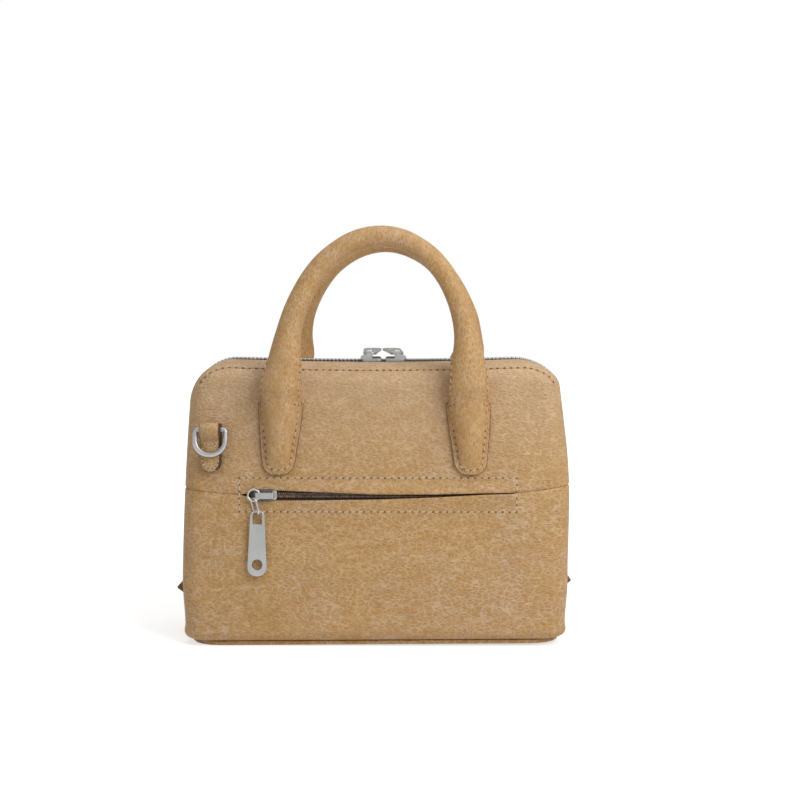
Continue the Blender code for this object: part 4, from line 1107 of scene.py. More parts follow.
def tab_section(height):
    """Outline of the tab, roll first, then flat back: (along X, away from the face) pairs."""
    half = tab_half(height)
    roll, rise = tab_roll(height)
    gone = smooth((height - below_top(FLANGE_DROP)) / TAB_NECK)
    half = mix(half, roll + TAB_MARGIN, gone)
    points = []
    for step in range(ROLL_POINTS):
        angle = math.pi * step / (ROLL_POINTS - 1)
        bow = abs(math.sin(angle)) ** 0.82
        points.append((roll * math.cos(angle), TAB_FLAT + rise * bow))
    lip = TAB_LIP
    flat = [mix(roll, half - lip, step / 4.0) for step in range(1, 5)]
    points += [(-x, TAB_FLAT - BORDER_STEP * (1.0 - step / 3.0)) for step, x in enumerate(flat)]
    points += [(-half, TAB_FLAT - lip), (-half, TAB_FLAT / 2.0), (-half + BACK_ROUND, TAB_GAP)]
    points += [(mix(-half, half, (step + 1) / 10.0), TAB_GAP) for step in range(9)]
    points += [(half - BACK_ROUND, TAB_GAP), (half, TAB_FLAT / 2.0), (half, TAB_FLAT - lip)]
    points += [(x, TAB_FLAT - BORDER_STEP * (step / 3.0)) for step, x in enumerate(reversed(flat))]
    return points


def round_section(radius):
    """The same number of points as a tab's outline, round a circle."""
    points = []
    for step in range(ROLL_POINTS):
        angle = math.pi * step / (ROLL_POINTS - 1)
        points.append((radius * math.cos(angle), radius * math.sin(angle)))
    for step in range(FLAT_POINTS):
        angle = math.pi + math.pi * (step + 1) / (FLAT_POINTS + 1)
        points.append((radius * math.cos(angle), radius * math.sin(angle)))
    return points


def leg_stretch(height, natural):
    """The leg is flattened where it comes out of its tab."""
    if height > LEG_TABLE[-1][0] * MM:
        return 1.0
    return max(along_table(LEG_TABLE, height) / natural, 1.0)


def handle_radius(share):
    """Radius of the round handle: thickest at its feet."""
    return mix(HANDLE_TOP_RADIUS, HANDLE_BASE_RADIUS, (1.0 - share) ** 2.6)


def handle_arch(side):
    """Centre points and radii over the arch, from the left leg's foot to the right one's."""
    spring = below_top(SPRING_DROP)
    hinge = below_top(HINGE_DROP)
    foot = HANDLE_SPREAD + HANDLE_FLARE
    total = spring + HANDLE_RISE - hinge
    points = []
    for step in range(LEG_STEPS):
        share = step / LEG_STEPS
        x = -mix(foot, HANDLE_SPREAD, share)
        points.append((Vector((x, 0.0, mix(hinge, spring, share))), 0.0))
    for step in range(ARCH_RINGS + 1):
        angle = math.pi * step / ARCH_RINGS
        height = spring + HANDLE_RISE * math.sin(angle)
        place = Vector((-HANDLE_SPREAD * math.cos(angle), 0.0, height))
        points.append((place, math.sin(angle)))
    for step in range(LEG_STEPS):
        share = (step + 1) / LEG_STEPS
        x = mix(HANDLE_SPREAD, foot, share)
        points.append((Vector((x, 0.0, mix(spring, hinge, share))), 0.0))
    placed = []
    for place, share in points:
        up = (place.z - hinge) / total
        place.y = side * (HANDLE_OUT - HANDLE_LEAN * up)
        if side == FRONT:
            place.x += HANDLE_SWAY * max(up, 0.0) ** SWAY_POWER
        else:
            spread = 1.0 + BACK_SPREAD * smooth(up / BACK_SPREAD_UP)
            place.x = place.x * spread + BACK_SWAY * smooth(up / BACK_SWAY_UP)
        placed.append((place, handle_radius(share)))
    return placed


def tab_rings(side, across):
    """Rings of one tab from its tip up to the round leg."""
    tip = below_top(TAB_DROP)
    flange_top = below_top(FLANGE_DROP)
    tube = below_top(TUBE_DROP)
    eased = [1.0 - math.cos(math.pi / 2.0 * step / 9) for step in range(1, 10)]
    heights = [tip + TAB_TIP_LENGTH * share for share in eased]
    heights += spaced(heights[-1], tube, TAB_ROWS, (flange_top,))[1:]
    rings = []
    for height in heights:
        lean = face_out(height)
        share = smooth((height - flange_top - LEG_START) / (tube - flange_top - LEG_START))
        tab = tab_section(height)
        leg = round_section(HANDLE_BASE_RADIUS)
        centre = tab_centre(across, height)
        natural = max(mix(one[0], two[0], share) for one, two in zip(tab, leg))
        stretch = mix(1.0, leg_stretch(height, natural), smooth((height - flange_top) / TAB_NECK))
        ring = []
        for (along, away), (leg_along, leg_away) in zip(tab, leg):
            x = mix(along, leg_along, share) * stretch
            out = mix(lean + away, HANDLE_OUT + leg_away, share)
            ring.append(Vector((centre - across * x, side * out, height)))
        rings.append(ring)
    level = face_out(heights[0]) + TAB_FLAT - TAB_LIP
    rim = []
    for point in rings[0]:
        rim.append(Vector((point.x, side * min(abs(point.y), level), point.z - RIM_DROP)))
    return [rim] + rings


def leg_rings(side, shrink=0.0):
    """Rings square to the arch's path."""
    arch = handle_arch(side)
    middles = [place for place, radius in arch]
    out = Vector((0.0, side, 0.0))
    rings = []
    for index, (place, radius) in enumerate(arch):
        run = run_at(middles, index)
        across = run.cross(out).normalized() * -side
        outward = run.cross(across).normalized() * side
        ring = []
        wide = leg_stretch(place.z, radius) if shrink == 0.0 else 1.0
        for along, away in round_section(radius - shrink):
            point = place + across * along * wide + outward * away
            lump = noise.noise(point * 60.0) * LUMP_HEIGHT if shrink == 0.0 else 0.0
            ring.append(point + (point - place).normalized() * lump)
        rings.append(ring)
    return rings


def make_handle(word, side):
    """One handle with both its tabs in a single piece of leather."""
    rings = tab_rings(side, LEFT) + leg_rings(side) + list(reversed(tab_rings(side, RIGHT)))
    data = tube_data(rings)
    count = len(rings[0])
    strips = len(rings) - 1
    flange_top = below_top(FLANGE_DROP)
    # The tips' rims and the outline's flanks and chamfers take the dark edge: real edge paint, and
    # painted shadow along the edge and under the tip
    for index, face in enumerate(data.faces):
        low = face.calc_center_median().z < flange_top
        at_tip = index < count or index >= (strips - 1) * count
        if at_tip or low and index % count in EDGE_AND_SHADE_FACES:
            face.material_index = 1
    name = word + "_handle_roll"
    handle = link(name, to_mesh(name, data), MATERIALS["roll"], MATERIALS["edge"])
    joint = word + "_handle"
    low, high = bend_zone(side)
    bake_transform(handle)
    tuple(low)
    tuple(high)
    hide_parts(joint, joint + "_tab_left", joint + "_tab_right")
    name = word + "_handle_cord"
    core = link(name, to_mesh(name, tube_data(leg_rings(side, CORD_INSET))), MATERIALS["core"])
    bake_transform(core)
    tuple(low)
    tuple(high)
    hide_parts(joint + "_core")


class SATCHEL_OT_handles(bpy.types.Operator):
    """Make the two rolled handles with their sewn tabs"""

    bl_idname = "satchel.handles"
    bl_label = "Handles"

    def execute(self, context):
        for word, side in SIDES:
            make_handle(word, side)
        return {"FINISHED"}


# The D-rings and the folded tabs that hold them

RING_X = 94.0 * MM
BAR_HEIGHT = 124.3 * MM
LOOP_RADIUS = 4.2 * MM
FOLD_THICKNESS = 1.6 * MM
RING_TAB_HALF = 6.15 * MM
RING_TAB_LENGTH = 24.0 * MM
RING_HALF = 8.7 * MM
RING_DROP = 14.5 * MM
RING_WIRE = 1.5 * MM
RING_TILT = math.radians(-5.5)
RING_ROUND = 1.6 * MM
TAB_LIFT = 0.3 * MM
FOLD_PLAY = 0.1 * MM
FOLD_BEND = -6.5 * MM
FOLD_ANGLE = math.radians(-62.0)
FOLD_SOFT = 0.40 * MM
FOLD_BEVEL = 1.35 * MM
FOLD_TIP = 0.6 * MM
FOLD_CREASE = 60.0


def face_matrix(x, height, side, lift=0.0):
    """A frame on the face: X along it, Y up it and Z out of it."""
    out = face_normal(height, side)
    across = Vector((-side, 0.0, 0.0))
    up = out.cross(across).normalized()
    place = Vector((x, side * face_out(height), height)) + out * lift
    matrix = Matrix((across, up, out)).transposed().to_4x4()
    matrix.translation = place
    return matrix


def ring_matrix(side):
    """The frame of a ring's bar."""
    return face_matrix(RING_X * side, BAR_HEIGHT, side, TAB_LIFT + LOOP_RADIUS)


def ring_path():
    """A straight bar, two short legs and a half circle."""
    leg = RING_DROP - RING_HALF
    corners = [(-RING_HALF, -leg), (-RING_HALF, 0.0), (RING_HALF, 0.0), (RING_HALF, -leg)]
    loop = rounded_loop(corners, [0.0, RING_ROUND, RING_ROUND, 0.0], steps=6)
    for step in range(1, 28):
        angle = -math.pi * step / 28
        loop.append(Vector((RING_HALF * math.cos(angle), -leg + RING_HALF * math.sin(angle))))
    return [Vector((point.x, point.y, 0.0)) for point in loop]


def fold_path():
    """The folded strip's middle line seen from its side: (away from the bar's level, up) pairs."""
    rest = LOOP_RADIUS
    mid = LOOP_RADIUS - FOLD_THICKNESS / 2.0
    front = -rest + FOLD_THICKNESS * 1.5 + FOLD_PLAY
    back = -rest + FOLD_THICKNESS / 2.0
    points = [(front, mix(-RING_TAB_LENGTH, FOLD_BEND, step / 16.0)) for step in range(17)]
    joint = (mid * math.cos(FOLD_ANGLE), mid * math.sin(FOLD_ANGLE))
    for step in range(1, 6):
        share = step / 6.0
        points.append((mix(front, joint[0], smooth(share)), mix(FOLD_BEND, joint[1], share)))
    for step in range(19):
        angle = mix(FOLD_ANGLE, math.pi, step / 18.0)
        points.append((mid * math.cos(angle), mid * math.sin(angle)))
    for step in range(1, 19):
        points.append((back, mix(0.0, -RING_TAB_LENGTH, step / 18.0)))
    return points


def fold_half(up):
    """Half width of the strip, rounded at its tip."""
    start = -RING_TAB_LENGTH + RING_TAB_HALF
    if up >= start:
        return RING_TAB_HALF
    share = min((start - up) / RING_TAB_HALF, 1.0)
    return max(RING_TAB_HALF * (1.0 - share ** 2.3) ** 0.5, FOLD_TIP)


def make_ring_tab(word, side):
    """A strip of leather folded over the bar of the D-ring, its cut edges painted."""
    path = [Vector((0.0, up, away)) for away, up in fold_path()]
    thick = FOLD_THICKNESS / 2.0
    soft = FOLD_SOFT
    rings = []
    for index, place in enumerate(path):
        normal = Vector((1.0, 0.0, 0.0)).cross(run_at(path, index)).normalized()
        half = fold_half(place.y)
        outline = [
            (-half + soft, thick), (0.0, thick), (half - FOLD_BEVEL, thick),
            (half, soft - thick / 2.0), (half, -thick + soft), (half - soft, -thick),
            (0.0, -thick), (-half + soft, -thick), (-half, -thick + soft), (-half, thick - soft),
        ]
        rings.append([place + Vector((x, 0.0, 0.0)) + normal * z for x, z in outline])
    data = tube_data(rings)
    for face in data.faces:
        if abs(face.normal.x) > 0.3 or len(face.verts) > 4:
            face.material_index = 1
    mesh = to_mesh("ring_fold_" + word, data, FOLD_CREASE)
    mesh.transform(ring_matrix(side))
    tab = link("ring_fold_" + word, mesh, MATERIALS["tab"], MATERIALS["dark_edge"])
    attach(tab, "bag")
    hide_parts("ring_tab_" + word)


def make_ring(word, side):
    """One D-ring of round wire."""
    mesh = wire_mesh("ring_wire_" + word, ring_path(), RING_WIRE, resolution=6)
    mesh.transform(ring_matrix(side) @ Matrix.Rotation(RING_TILT, 4, "X"))
    ring = link("ring_wire_" + word, mesh, MATERIALS["ring"])
    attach(ring, "d_ring_" + word)
    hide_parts("d_ring_" + word)


class SATCHEL_OT_rings(bpy.types.Operator):
    """Make the two D-rings and their folded leather tabs"""

    bl_idname = "satchel.rings"
    bl_label = "D-Rings"

    def execute(self, context):
        for word, side in SIDES:
            make_ring_tab(word, side)
            make_ring(word, side)
        return {"FINISHED"}


# Repeats: stitches, dark beads of painted shade at the needle holes, and teeth are set along paths
# by Geometry Nodes

def walk(path, pitch, parts=1):
    """Even steps along a path, each pitch cut into parts: (leg, share of that leg) pairs."""
    lengths = [(end - start).length for start, end in zip(path, path[1:])]
    total = sum(lengths)
    count = max(round(total / pitch), 1) * parts
    steps = []
    leg = 0
    passed = 0.0
    for index in range(count + 1):
        want = total * index / count
        while leg < len(lengths) - 1 and passed + lengths[leg] < want:
            passed += lengths[leg]
            leg += 1
        steps.append((leg, (want - passed) / lengths[leg] if lengths[leg] > 0.0 else 0.0))
    return steps


def resampled(path, pitch):
    """Points an even pitch apart along a path."""
    return [path[leg].lerp(path[leg + 1], share) for leg, share in walk(path, pitch)]


def repeat_tree(name, block):
    """A node tree that sets a small rounded shape on every point, turned to its run and rise."""
    tree = bpy.data.node_groups.new(name, "GeometryNodeTree")
    face = tree.interface
    face.new_socket("Geometry", in_out="INPUT", socket_type="NodeSocketGeometry")
    for word in ("Length", "Width", "Height", "Variation"):
        face.new_socket(word, in_out="INPUT", socket_type="NodeSocketFloat")
    face.new_socket("Seed", in_out="INPUT", socket_type="NodeSocketInt")
    face.new_socket("Material", in_out="INPUT", socket_type="NodeSocketMaterial")
    face.new_socket("Geometry", in_out="OUTPUT", socket_type="NodeSocketGeometry")
    nodes = tree.nodes
    given = nodes.new("NodeGroupInput")
    result = nodes.new("NodeGroupOutput")

    def join(source, node, socket):
        tree.links.new(source, node.inputs[socket])

    if block:
        cube = nodes.new("GeometryNodeMeshCube")
        cube.inputs["Size"].default_value = (2.0, 2.0, 2.0)
        rounded = nodes.new("GeometryNodeSubdivisionSurface")
        rounded.inputs["Level"].default_value = 1
        rounded.inputs["Edge Crease"].default_value = 0.55
        join(cube.outputs["Mesh"], rounded, "Mesh")
        seed_shape = rounded.outputs["Mesh"]
    else:
        bead = nodes.new("GeometryNodeMeshUVSphere")
        bead.inputs["Segments"].default_value = 8
        bead.inputs["Rings"].default_value = 5
        bead.inputs["Radius"].default_value = 1.0
        lying = nodes.new("GeometryNodeTransform")
        lying.inputs["Rotation"].default_value = (0.0, math.pi / 2.0, 0.0)
        join(bead.outputs["Mesh"], lying, "Geometry")
        seed_shape = lying.outputs["Geometry"]
    size = nodes.new("ShaderNodeCombineXYZ")
    for word, socket in (("Length", "X"), ("Width", "Y"), ("Height", "Z")):
        half = nodes.new("ShaderNodeMath")
        half.operation = "MULTIPLY"
        half.inputs[1].default_value = 0.5
        join(given.outputs[word], half, 0)
        join(half.outputs["Value"], size, socket)
    sized = nodes.new("GeometryNodeTransform")
    join(seed_shape, sized, "Geometry")
    join(size.outputs["Vector"], sized, "Scale")
    axes = nodes.new("FunctionNodeAxesToRotation")
    axes.primary_axis = "Z"
    axes.secondary_axis = "X"
    for word, socket in (("rise", 0), ("run", 1)):
        stored = nodes.new("GeometryNodeInputNamedAttribute")
        stored.data_type = "FLOAT_VECTOR"
        stored.inputs["Name"].default_value = word
        join(stored.outputs["Attribute"], axes, socket)
    vary = nodes.new("FunctionNodeRandomValue")
    vary.data_type = "FLOAT"
    least = nodes.new("ShaderNodeMath")
    least.operation = "SUBTRACT"
    least.inputs[0].default_value = 1.0
    join(given.outputs["Variation"], least, 1)
    floats = [socket for socket in vary.inputs if socket.enabled and socket.name in ("Min", "Max")]
    tree.links.new(least.outputs["Value"], floats[0])
    floats[1].default_value = 1.0
    join(given.outputs["Seed"], vary, "Seed")
    setter = nodes.new("GeometryNodeInstanceOnPoints")
    join(given.outputs["Geometry"], setter, "Points")
    join(sized.outputs["Geometry"], setter, "Instance")
    join(axes.outputs["Rotation"], setter, "Rotation")
    scale = [socket for socket in vary.outputs if socket.enabled][0]
    join(scale, setter, "Scale")
    real = nodes.new("GeometryNodeRealizeInstances")
    join(setter.outputs["Instances"], real, "Geometry")
    round_off = nodes.new("GeometryNodeSetShadeSmooth")
    join(real.outputs["Geometry"], round_off, "Geometry")
    paint = nodes.new("GeometryNodeSetMaterial")
    join(round_off.outputs["Geometry"], paint, "Geometry")
    join(given.outputs["Material"], paint, "Material")
    join(paint.outputs["Geometry"], result, "Geometry")
    return tree


TREES = {}
SEED = 7


def repeats(name, places, kind, size, material, variation=0.0):
    """One mesh of small shapes, set on (place, run, rise) triples."""
    if kind not in TREES:
        TREES[kind] = repeat_tree("set_" + kind, kind == "block")
    mesh = bpy.data.meshes.new(name)
    mesh.from_pydata([place for place, run, rise in places], [], [])
    for word, index in (("run", 1), ("rise", 2)):
        stored = mesh.attributes.new(word, "FLOAT_VECTOR", "POINT")
        stored.data.foreach_set("vector", [value for item in places for value in item[index]])
    piece = link(name, mesh)
    maker = piece.modifiers.new("repeats", "NODES")
    maker.node_group = TREES[kind]
    values = {
        "Length": size[0], "Width": size[1], "Height": size[2],
        "Variation": variation, "Seed": SEED, "Material": MATERIALS[material],
    }
    for item in TREES[kind].interface.items_tree:
        if item.in_out == "INPUT" and item.name in values:
            maker[item.identifier] = values[item.name]
    plain_mesh(piece)
    return piece


STITCH_WIDTH = 0.72 * MM
STITCH_RISE = 0.6 * MM
# Size of the dark bead that paints the shade in a needle hole
HOLE_LENGTH = 1.35 * MM
HOLE_WIDTH = 1.1 * MM
HOLE_RISE = 0.45 * MM
THREAD_GAP = 0.9 * MM
THREAD_SLANT = math.radians(9.0)


def stitch_places(path, surface, pitch):
    """Thread middles and needle holes along a path; surface gives a point and its normal."""
    dense, rises = zip(*[surface(*point) for point in path])
    found = []
    for leg, share in walk(dense, pitch, 2):
        place = dense[leg].lerp(dense[leg + 1], share)
        rise = rises[leg].lerp(rises[leg + 1], share).normalized()
        found.append((place, (dense[leg + 1] - dense[leg]).normalized(), rise))
    return found[1::2], found[0::2]


def sew(name, rows, pitch, blend=None, hole_share=1.0, thread="thread", thread_share=1.0):
    """Thread and the dark beads of painted shade at the needle holes for several rows, as two
    pieces.
    """
    threads = []
    holes = []
    for path, surface in rows:
        middles, ends = stitch_places(path, surface, pitch)
        threads += middles
        holes += ends
    slant = math.tan(THREAD_SLANT)
    slanted = []
    for place, run, rise in threads:
        slanted.append((place, (run + rise.cross(run) * slant).normalized(), rise))
    size = (pitch - THREAD_GAP, STITCH_WIDTH * thread_share, STITCH_RISE * thread_share)
    strand = repeats(name + "_thread", slanted, "bead", size, thread, 0.12)
    size = (HOLE_LENGTH * hole_share, HOLE_WIDTH * hole_share, HOLE_RISE)
    hole = repeats(name + "_holes", holes, "bead", size, "hole", 0.25)
    for piece in (strand, hole):
        if blend:
            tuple(blend[1])
            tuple(blend[2])
            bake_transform(piece)
        else:
            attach(piece, "bag")


# The top zip

ZIP_INSET = 2.4 * MM
ZIP_TOP = 1.3 * MM
TEETH_PITCH = 2.35 * MM
TEETH_START_LIFT = 7.0 * MM
TOOTH_WIDE = 1.25 * MM
TEETH_LIFT_SHARE = 0.62
TOOTH_ACROSS = 2.5 * MM
TOOTH_TALL = 2.0 * MM
TOOTH_OFFSET_SHARE = 0.42
TAPE_THICK = 0.6 * MM
TAPE_REACH = 9.0 * MM
TAPE_GAP = 0.45 * MM
TAPE_CROWN = 0.25 * MM
LIFT_REACH = 30.0 * MM
LIFT_FADE = 26.0 * MM


def zip_line(inset, start, side_count=40, corner_count=28):
    """The zip's run in the middle plane, rising with the leather's edge along the top."""
    s = shape()
    corner = s.body_height - s.corner_radius
    right = []
    for step in range(side_count):
        height = mix(start, corner, step / side_count)
        right.append(Vector((side_half(height) - inset, 0.0, height)))
    radius = s.corner_radius - inset
    centre = side_half(corner) - s.corner_radius
    for step in range(corner_count + 1):
        angle = math.pi / 2.0 * step / corner_count
        x = centre + radius * math.cos(angle)
        right.append(Vector((x, 0.0, corner + radius * math.sin(angle))))
    left = [Vector((-point.x, point.y, point.z)) for point in right]
    reach = right[-1].x
    flat = [Vector((mix(-reach, reach, step / 60.0), 0.0, right[-1].z)) for step in range(1, 60)]
    return left + flat + list(reversed(right))


def zip_lift(place):
    """How far the teeth rise, so that they follow the hanging edge of the leather."""
    s = shape()
    high = smooth((place.z - (s.body_height - LIFT_REACH)) / LIFT_FADE)
    return (s.top_sag + top_dip(Vector((place.x, 0.0, s.body_height))).z) * high * TEETH_LIFT_SHARE


def on_zip(place):
    """A place of the top zip once it follows the leather."""
    return place + rest_shift(place) + Vector((0.0, 0.0, zip_lift(place)))


def turned_out(run):
    """Outward direction in the middle plane, square to a run."""
    return Vector((-run.z, 0.0, run.x))


def make_tape(name, node, rings):
    """A woven tape from its closed rings."""
    tape = link(name, to_mesh(name, tube_data(rings), CREASE), MATERIALS["tape"])
    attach(tape, "bag")
    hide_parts(node)


def make_zip_tape(word, side):
    """One tape of the top zip, round both corners."""
    path = zip_line(ZIP_INSET, shape().zip_end)
    rings = []
    for index, place in enumerate(path):
        out = turned_out(run_at(path, index))
        near = Vector((0.0, side * TAPE_GAP, 0.0))
        far = Vector((0.0, side * TAPE_REACH, 0.0))
        sunk = on_zip(place)
        middle = sunk + near.lerp(far, 0.45) + out * TAPE_CROWN
        rings.append([
            sunk + near, middle, sunk + far, sunk + far - out * TAPE_THICK,
            middle - out * TAPE_THICK, sunk + near - out * TAPE_THICK,
        ])
    make_tape("top_tape_" + word, "top_zip_tape_" + word, rings)


def make_zip_teeth(word, side):
    """One row of the top zip's teeth; the two rows take turns."""
    start = shape().zip_end + TEETH_START_LIFT
    line = [on_zip(place) for place in zip_line(ZIP_INSET - ZIP_TOP, start)]
    points = resampled(line, TEETH_PITCH / 2.0)
    chosen = points[0::2] if side == FRONT else points[1::2]
    places = []
    for index, place in enumerate(chosen):
        run = run_at(chosen, index)
        beside = Vector((0.0, side * TOOTH_ACROSS * TOOTH_OFFSET_SHARE, 0.0))
        places.append((place + beside, run, turned_out(run)))
    size = (TOOTH_WIDE, TOOTH_ACROSS, TOOTH_TALL)
    teeth = repeats("top_teeth_" + word, places, "block", size, "metal")
    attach(teeth, "bag")
    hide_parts("top_zip_teeth_" + word)


# Sliders, pullers and the small chain on the pocket's slider

SLIDER_HALF_SPACING = 7.0 * MM
SLIDER_MEETING = 4.5 * MM
BAIL_SHIFT = 1.2 * MM
SLIDER_TOP = 3.6 * MM
BAIL_PIVOT = 1.5 * MM
PULLER_TILT = math.radians(-3.2)
PLATE_LENGTH = 37.6 * MM
PLATE_WIDTH = 11.6 * MM
PLATE_TOP_WIDTH = 7.9 * MM
PLATE_THICKNESS = 1.4 * MM
PLATE_BAR = 1.3 * MM
WINDOW_WIDTH = 5.4 * MM
WINDOW_HEIGHT = 6.6 * MM
WINDOW_ROUND = 0.8 * MM
WINDOW_LOW_ROUND = 0.35 * MM
PLATE_ROUND = 3.4 * MM
PLATE_LOW_SHARE = 0.46
PLATE_HOLE = 3.0 * MM
PLATE_HOLE_RISE = 6.6 * MM
PLATE_SOFT = 0.32 * MM
POCKET_INSET = 2.2 * MM
POCKET_SLIDER_X = -65.4 * MM
CHAIN_HOLE_X = -3.0 * MM
CHAIN_RISE = 4.68 * MM
PULL_RING_RADIUS = 3.3 * MM
PULL_RING_WIRE = 0.68 * MM
LINK_WIRE = 0.6 * MM
LINK_PLAY = 0.32 * MM
LINK_LENGTH = 10.8 * MM
LINK_WIDTH = 5.7 * MM
LINK_TURN = math.radians(-45.0)
LINK_BAR_RISE = 1.35 * MM
LINK_LEAN = math.radians(16.0)
BRIDGE_RISE = 3.4 * MM
BRIDGE_SHIFT = 0.45 * MM
BRIDGE_SPREAD = 1.15
BRIDGE_SINK = 0.12 * MM
POCKET_CAST_ROUND = 0.22 * MM
BRIGHT_LENGTH = 2.6 * MM
END_LENGTH = 2.4 * MM
END_OVER = 0.2 * MM
END_INSET = 0.5 * MM
END_CORNER = 0.8 * MM
END_THICK = 1.2 * MM
END_ROUND = 0.3 * MM
# Outlines of the top slider's nose and wings, in millimetres from its middle and the zip's level;
# the wings take the darkened metal, painted shade where the slider is open
NOSE = (
    (0.6, 1.4), (6.5, 1.4), (6.6, 2.8), (6.3, 3.7), (5.5, 4.3), (3.8, 4.7), (1.6, 4.9), (0.6, 4.7),
)
WINGS = ((-5.6, 1.2), (-0.4, 1.2), (-0.4, 3.5), (-4.6, 3.5), (-5.6, 3.0))
# Levels of the CAD's slider and where the scene sets them, in millimetres
SLIDER_LOW = ((150.0, 150.0), (163.6, 163.6), (165.7, 164.1), (170.6, 170.3), (180.0, 180.0))
NOSE_THICK = 2.2 * MM
NOSE_ROUND = 0.3 * MM
NOSE_Y = -2.6 * MM
WINGS_THICK = 1.6 * MM
WINGS_ROUND = 0.2 * MM
WINGS_Y = -0.6 * MM
CAST_ROUND = 0.28 * MM
# The pullers lie a little turned, as photographed
PULLER_TURNS = {LEFT: math.radians(-1.5), RIGHT: math.radians(7.0)}


def make_metal(name, node, mesh, material="metal"):
    """A metal fitting that stands for one node, on the body of the same name."""
    piece = link(name, mesh, *[MATERIALS[word] for word in material.split()])
    facing = piece.modifiers.new("facing", "WEIGHTED_NORMAL")
    facing.keep_sharp = True
    facing.weight = 100
    plain_mesh(piece)
    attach(piece, node)
    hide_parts(node)


def puller_mesh(name):
    """The puller plate: a bar over a window, and a round hole low down."""
    top = PLATE_BAR / 2.0
    bottom = top - PLATE_LENGTH
    outer = [
        (PLATE_TOP_WIDTH / 2.0, top), (-PLATE_TOP_WIDTH / 2.0, top),
        (-PLATE_WIDTH / 2.0, bottom), (PLATE_WIDTH / 2.0, bottom),
    ]
    low_round = PLATE_WIDTH * PLATE_LOW_SHARE
    outer = rounded_loop(outer, [PLATE_ROUND, PLATE_ROUND, low_round, low_round], steps=12)
    low = -PLATE_BAR / 2.0
    half = WINDOW_WIDTH / 2.0
    corners = [(half, low), (-half, low), (-half, low - WINDOW_HEIGHT), (half, low - WINDOW_HEIGHT)]
    radii = [WINDOW_ROUND, WINDOW_ROUND, WINDOW_LOW_ROUND, WINDOW_LOW_ROUND]
    window = rounded_loop(corners, radii, steps=4)
    centre = bottom + PLATE_HOLE_RISE
    hole = []
    for step in range(36):
        angle = 2.0 * math.pi * step / 36
        hole.append(Vector((PLATE_HOLE * math.cos(angle), centre + PLATE_HOLE * math.sin(angle))))
    return plate_mesh(name, [outer, window, hole], PLATE_THICKNESS, PLATE_SOFT)


def joined(name, *meshes):
    """One mesh of several, with its sharp edges marked."""
    data = bmesh.new()
    for mesh in meshes:
        data.from_mesh(mesh)
    return to_mesh(name, data, CREASE)


def upright_plate(name, outline, side, thickness, bevel, place):
    """A plate set upright along the zip, from an outline in millimetres."""
    corners = [Vector((side * x * MM, z * MM)) for x, z in outline]
    mesh = plate_mesh(name, [corners], thickness, bevel)
    mesh.transform(Matrix.Translation(place) @ Matrix.Rotation(math.pi / 2.0, 4, "X"))
    return mesh


def make_top_slider(word, side):
    """One slider of the top zip with its nose and wings, and its puller laid back."""
    node = "top_slider_" + word
    level = below_top(ZIP_INSET)
    middle = SLIDER_MEETING + side * SLIDER_HALF_SPACING
    place = (middle, NOSE_Y, level)
    nose = upright_plate("slider_nose", NOSE, side, NOSE_THICK, NOSE_ROUND, place)
    body = softened_copy(node, node + "_cast", CAST_ROUND, 3)
    for vert in body.vertices:
        vert.co.z = along_table(SLIDER_LOW, vert.co.z)
    place = (middle, WINGS_Y, level)
    wings = upright_plate("slider_wings", WINGS, side, WINGS_THICK, WINGS_ROUND, place)
    # The wings take the darkened metal: painted shade in the slider's openings
    for face in wings.polygons:
        face.material_index = 1
    make_metal(node + "_cast", node, joined(node + "_cast", body, nose, wings), "metal dull")
    mesh = puller_mesh("top_puller_" + word + "_plate")
    level = below_top(ZIP_INSET) + SLIDER_TOP + BAIL_PIVOT
    x = SLIDER_MEETING + side * (SLIDER_HALF_SPACING + BAIL_SHIFT)
    turn = Matrix.Rotation(math.pi + PULLER_TURNS[side], 4, "Z")
    back = turn @ Matrix.Rotation(PULLER_TILT, 4, "X")
    mesh.transform(Matrix.Translation((x, 0.0, level)) @ back)
    make_metal("top_puller_" + word + "_plate", "top_puller_" + word, mesh)


def pocket_seam():
    """The frame of the pocket's seam: X along it, Y up and Z out."""
    return face_matrix(POCKET_SHIFT, shape().seam_height, FRONT)


def link_loop():
    """The oval link's wire and the level of its lowest point."""
    half = LINK_WIDTH / 2.0 - LINK_WIRE
    top = PULL_RING_WIRE + LINK_PLAY + LINK_WIRE
    bottom = top - (LINK_LENGTH - 2.0 * LINK_WIRE)
    corners = [(half, top), (-half, top), (-half, bottom), (half, bottom)]
    loop = rounded_loop(corners, [half * 0.98] * 4, steps=10)
    turn = Matrix.Rotation(LINK_TURN, 4, "Y")
    return [turn @ Vector((point.x, point.y, 0.0)) for point in loop], bottom


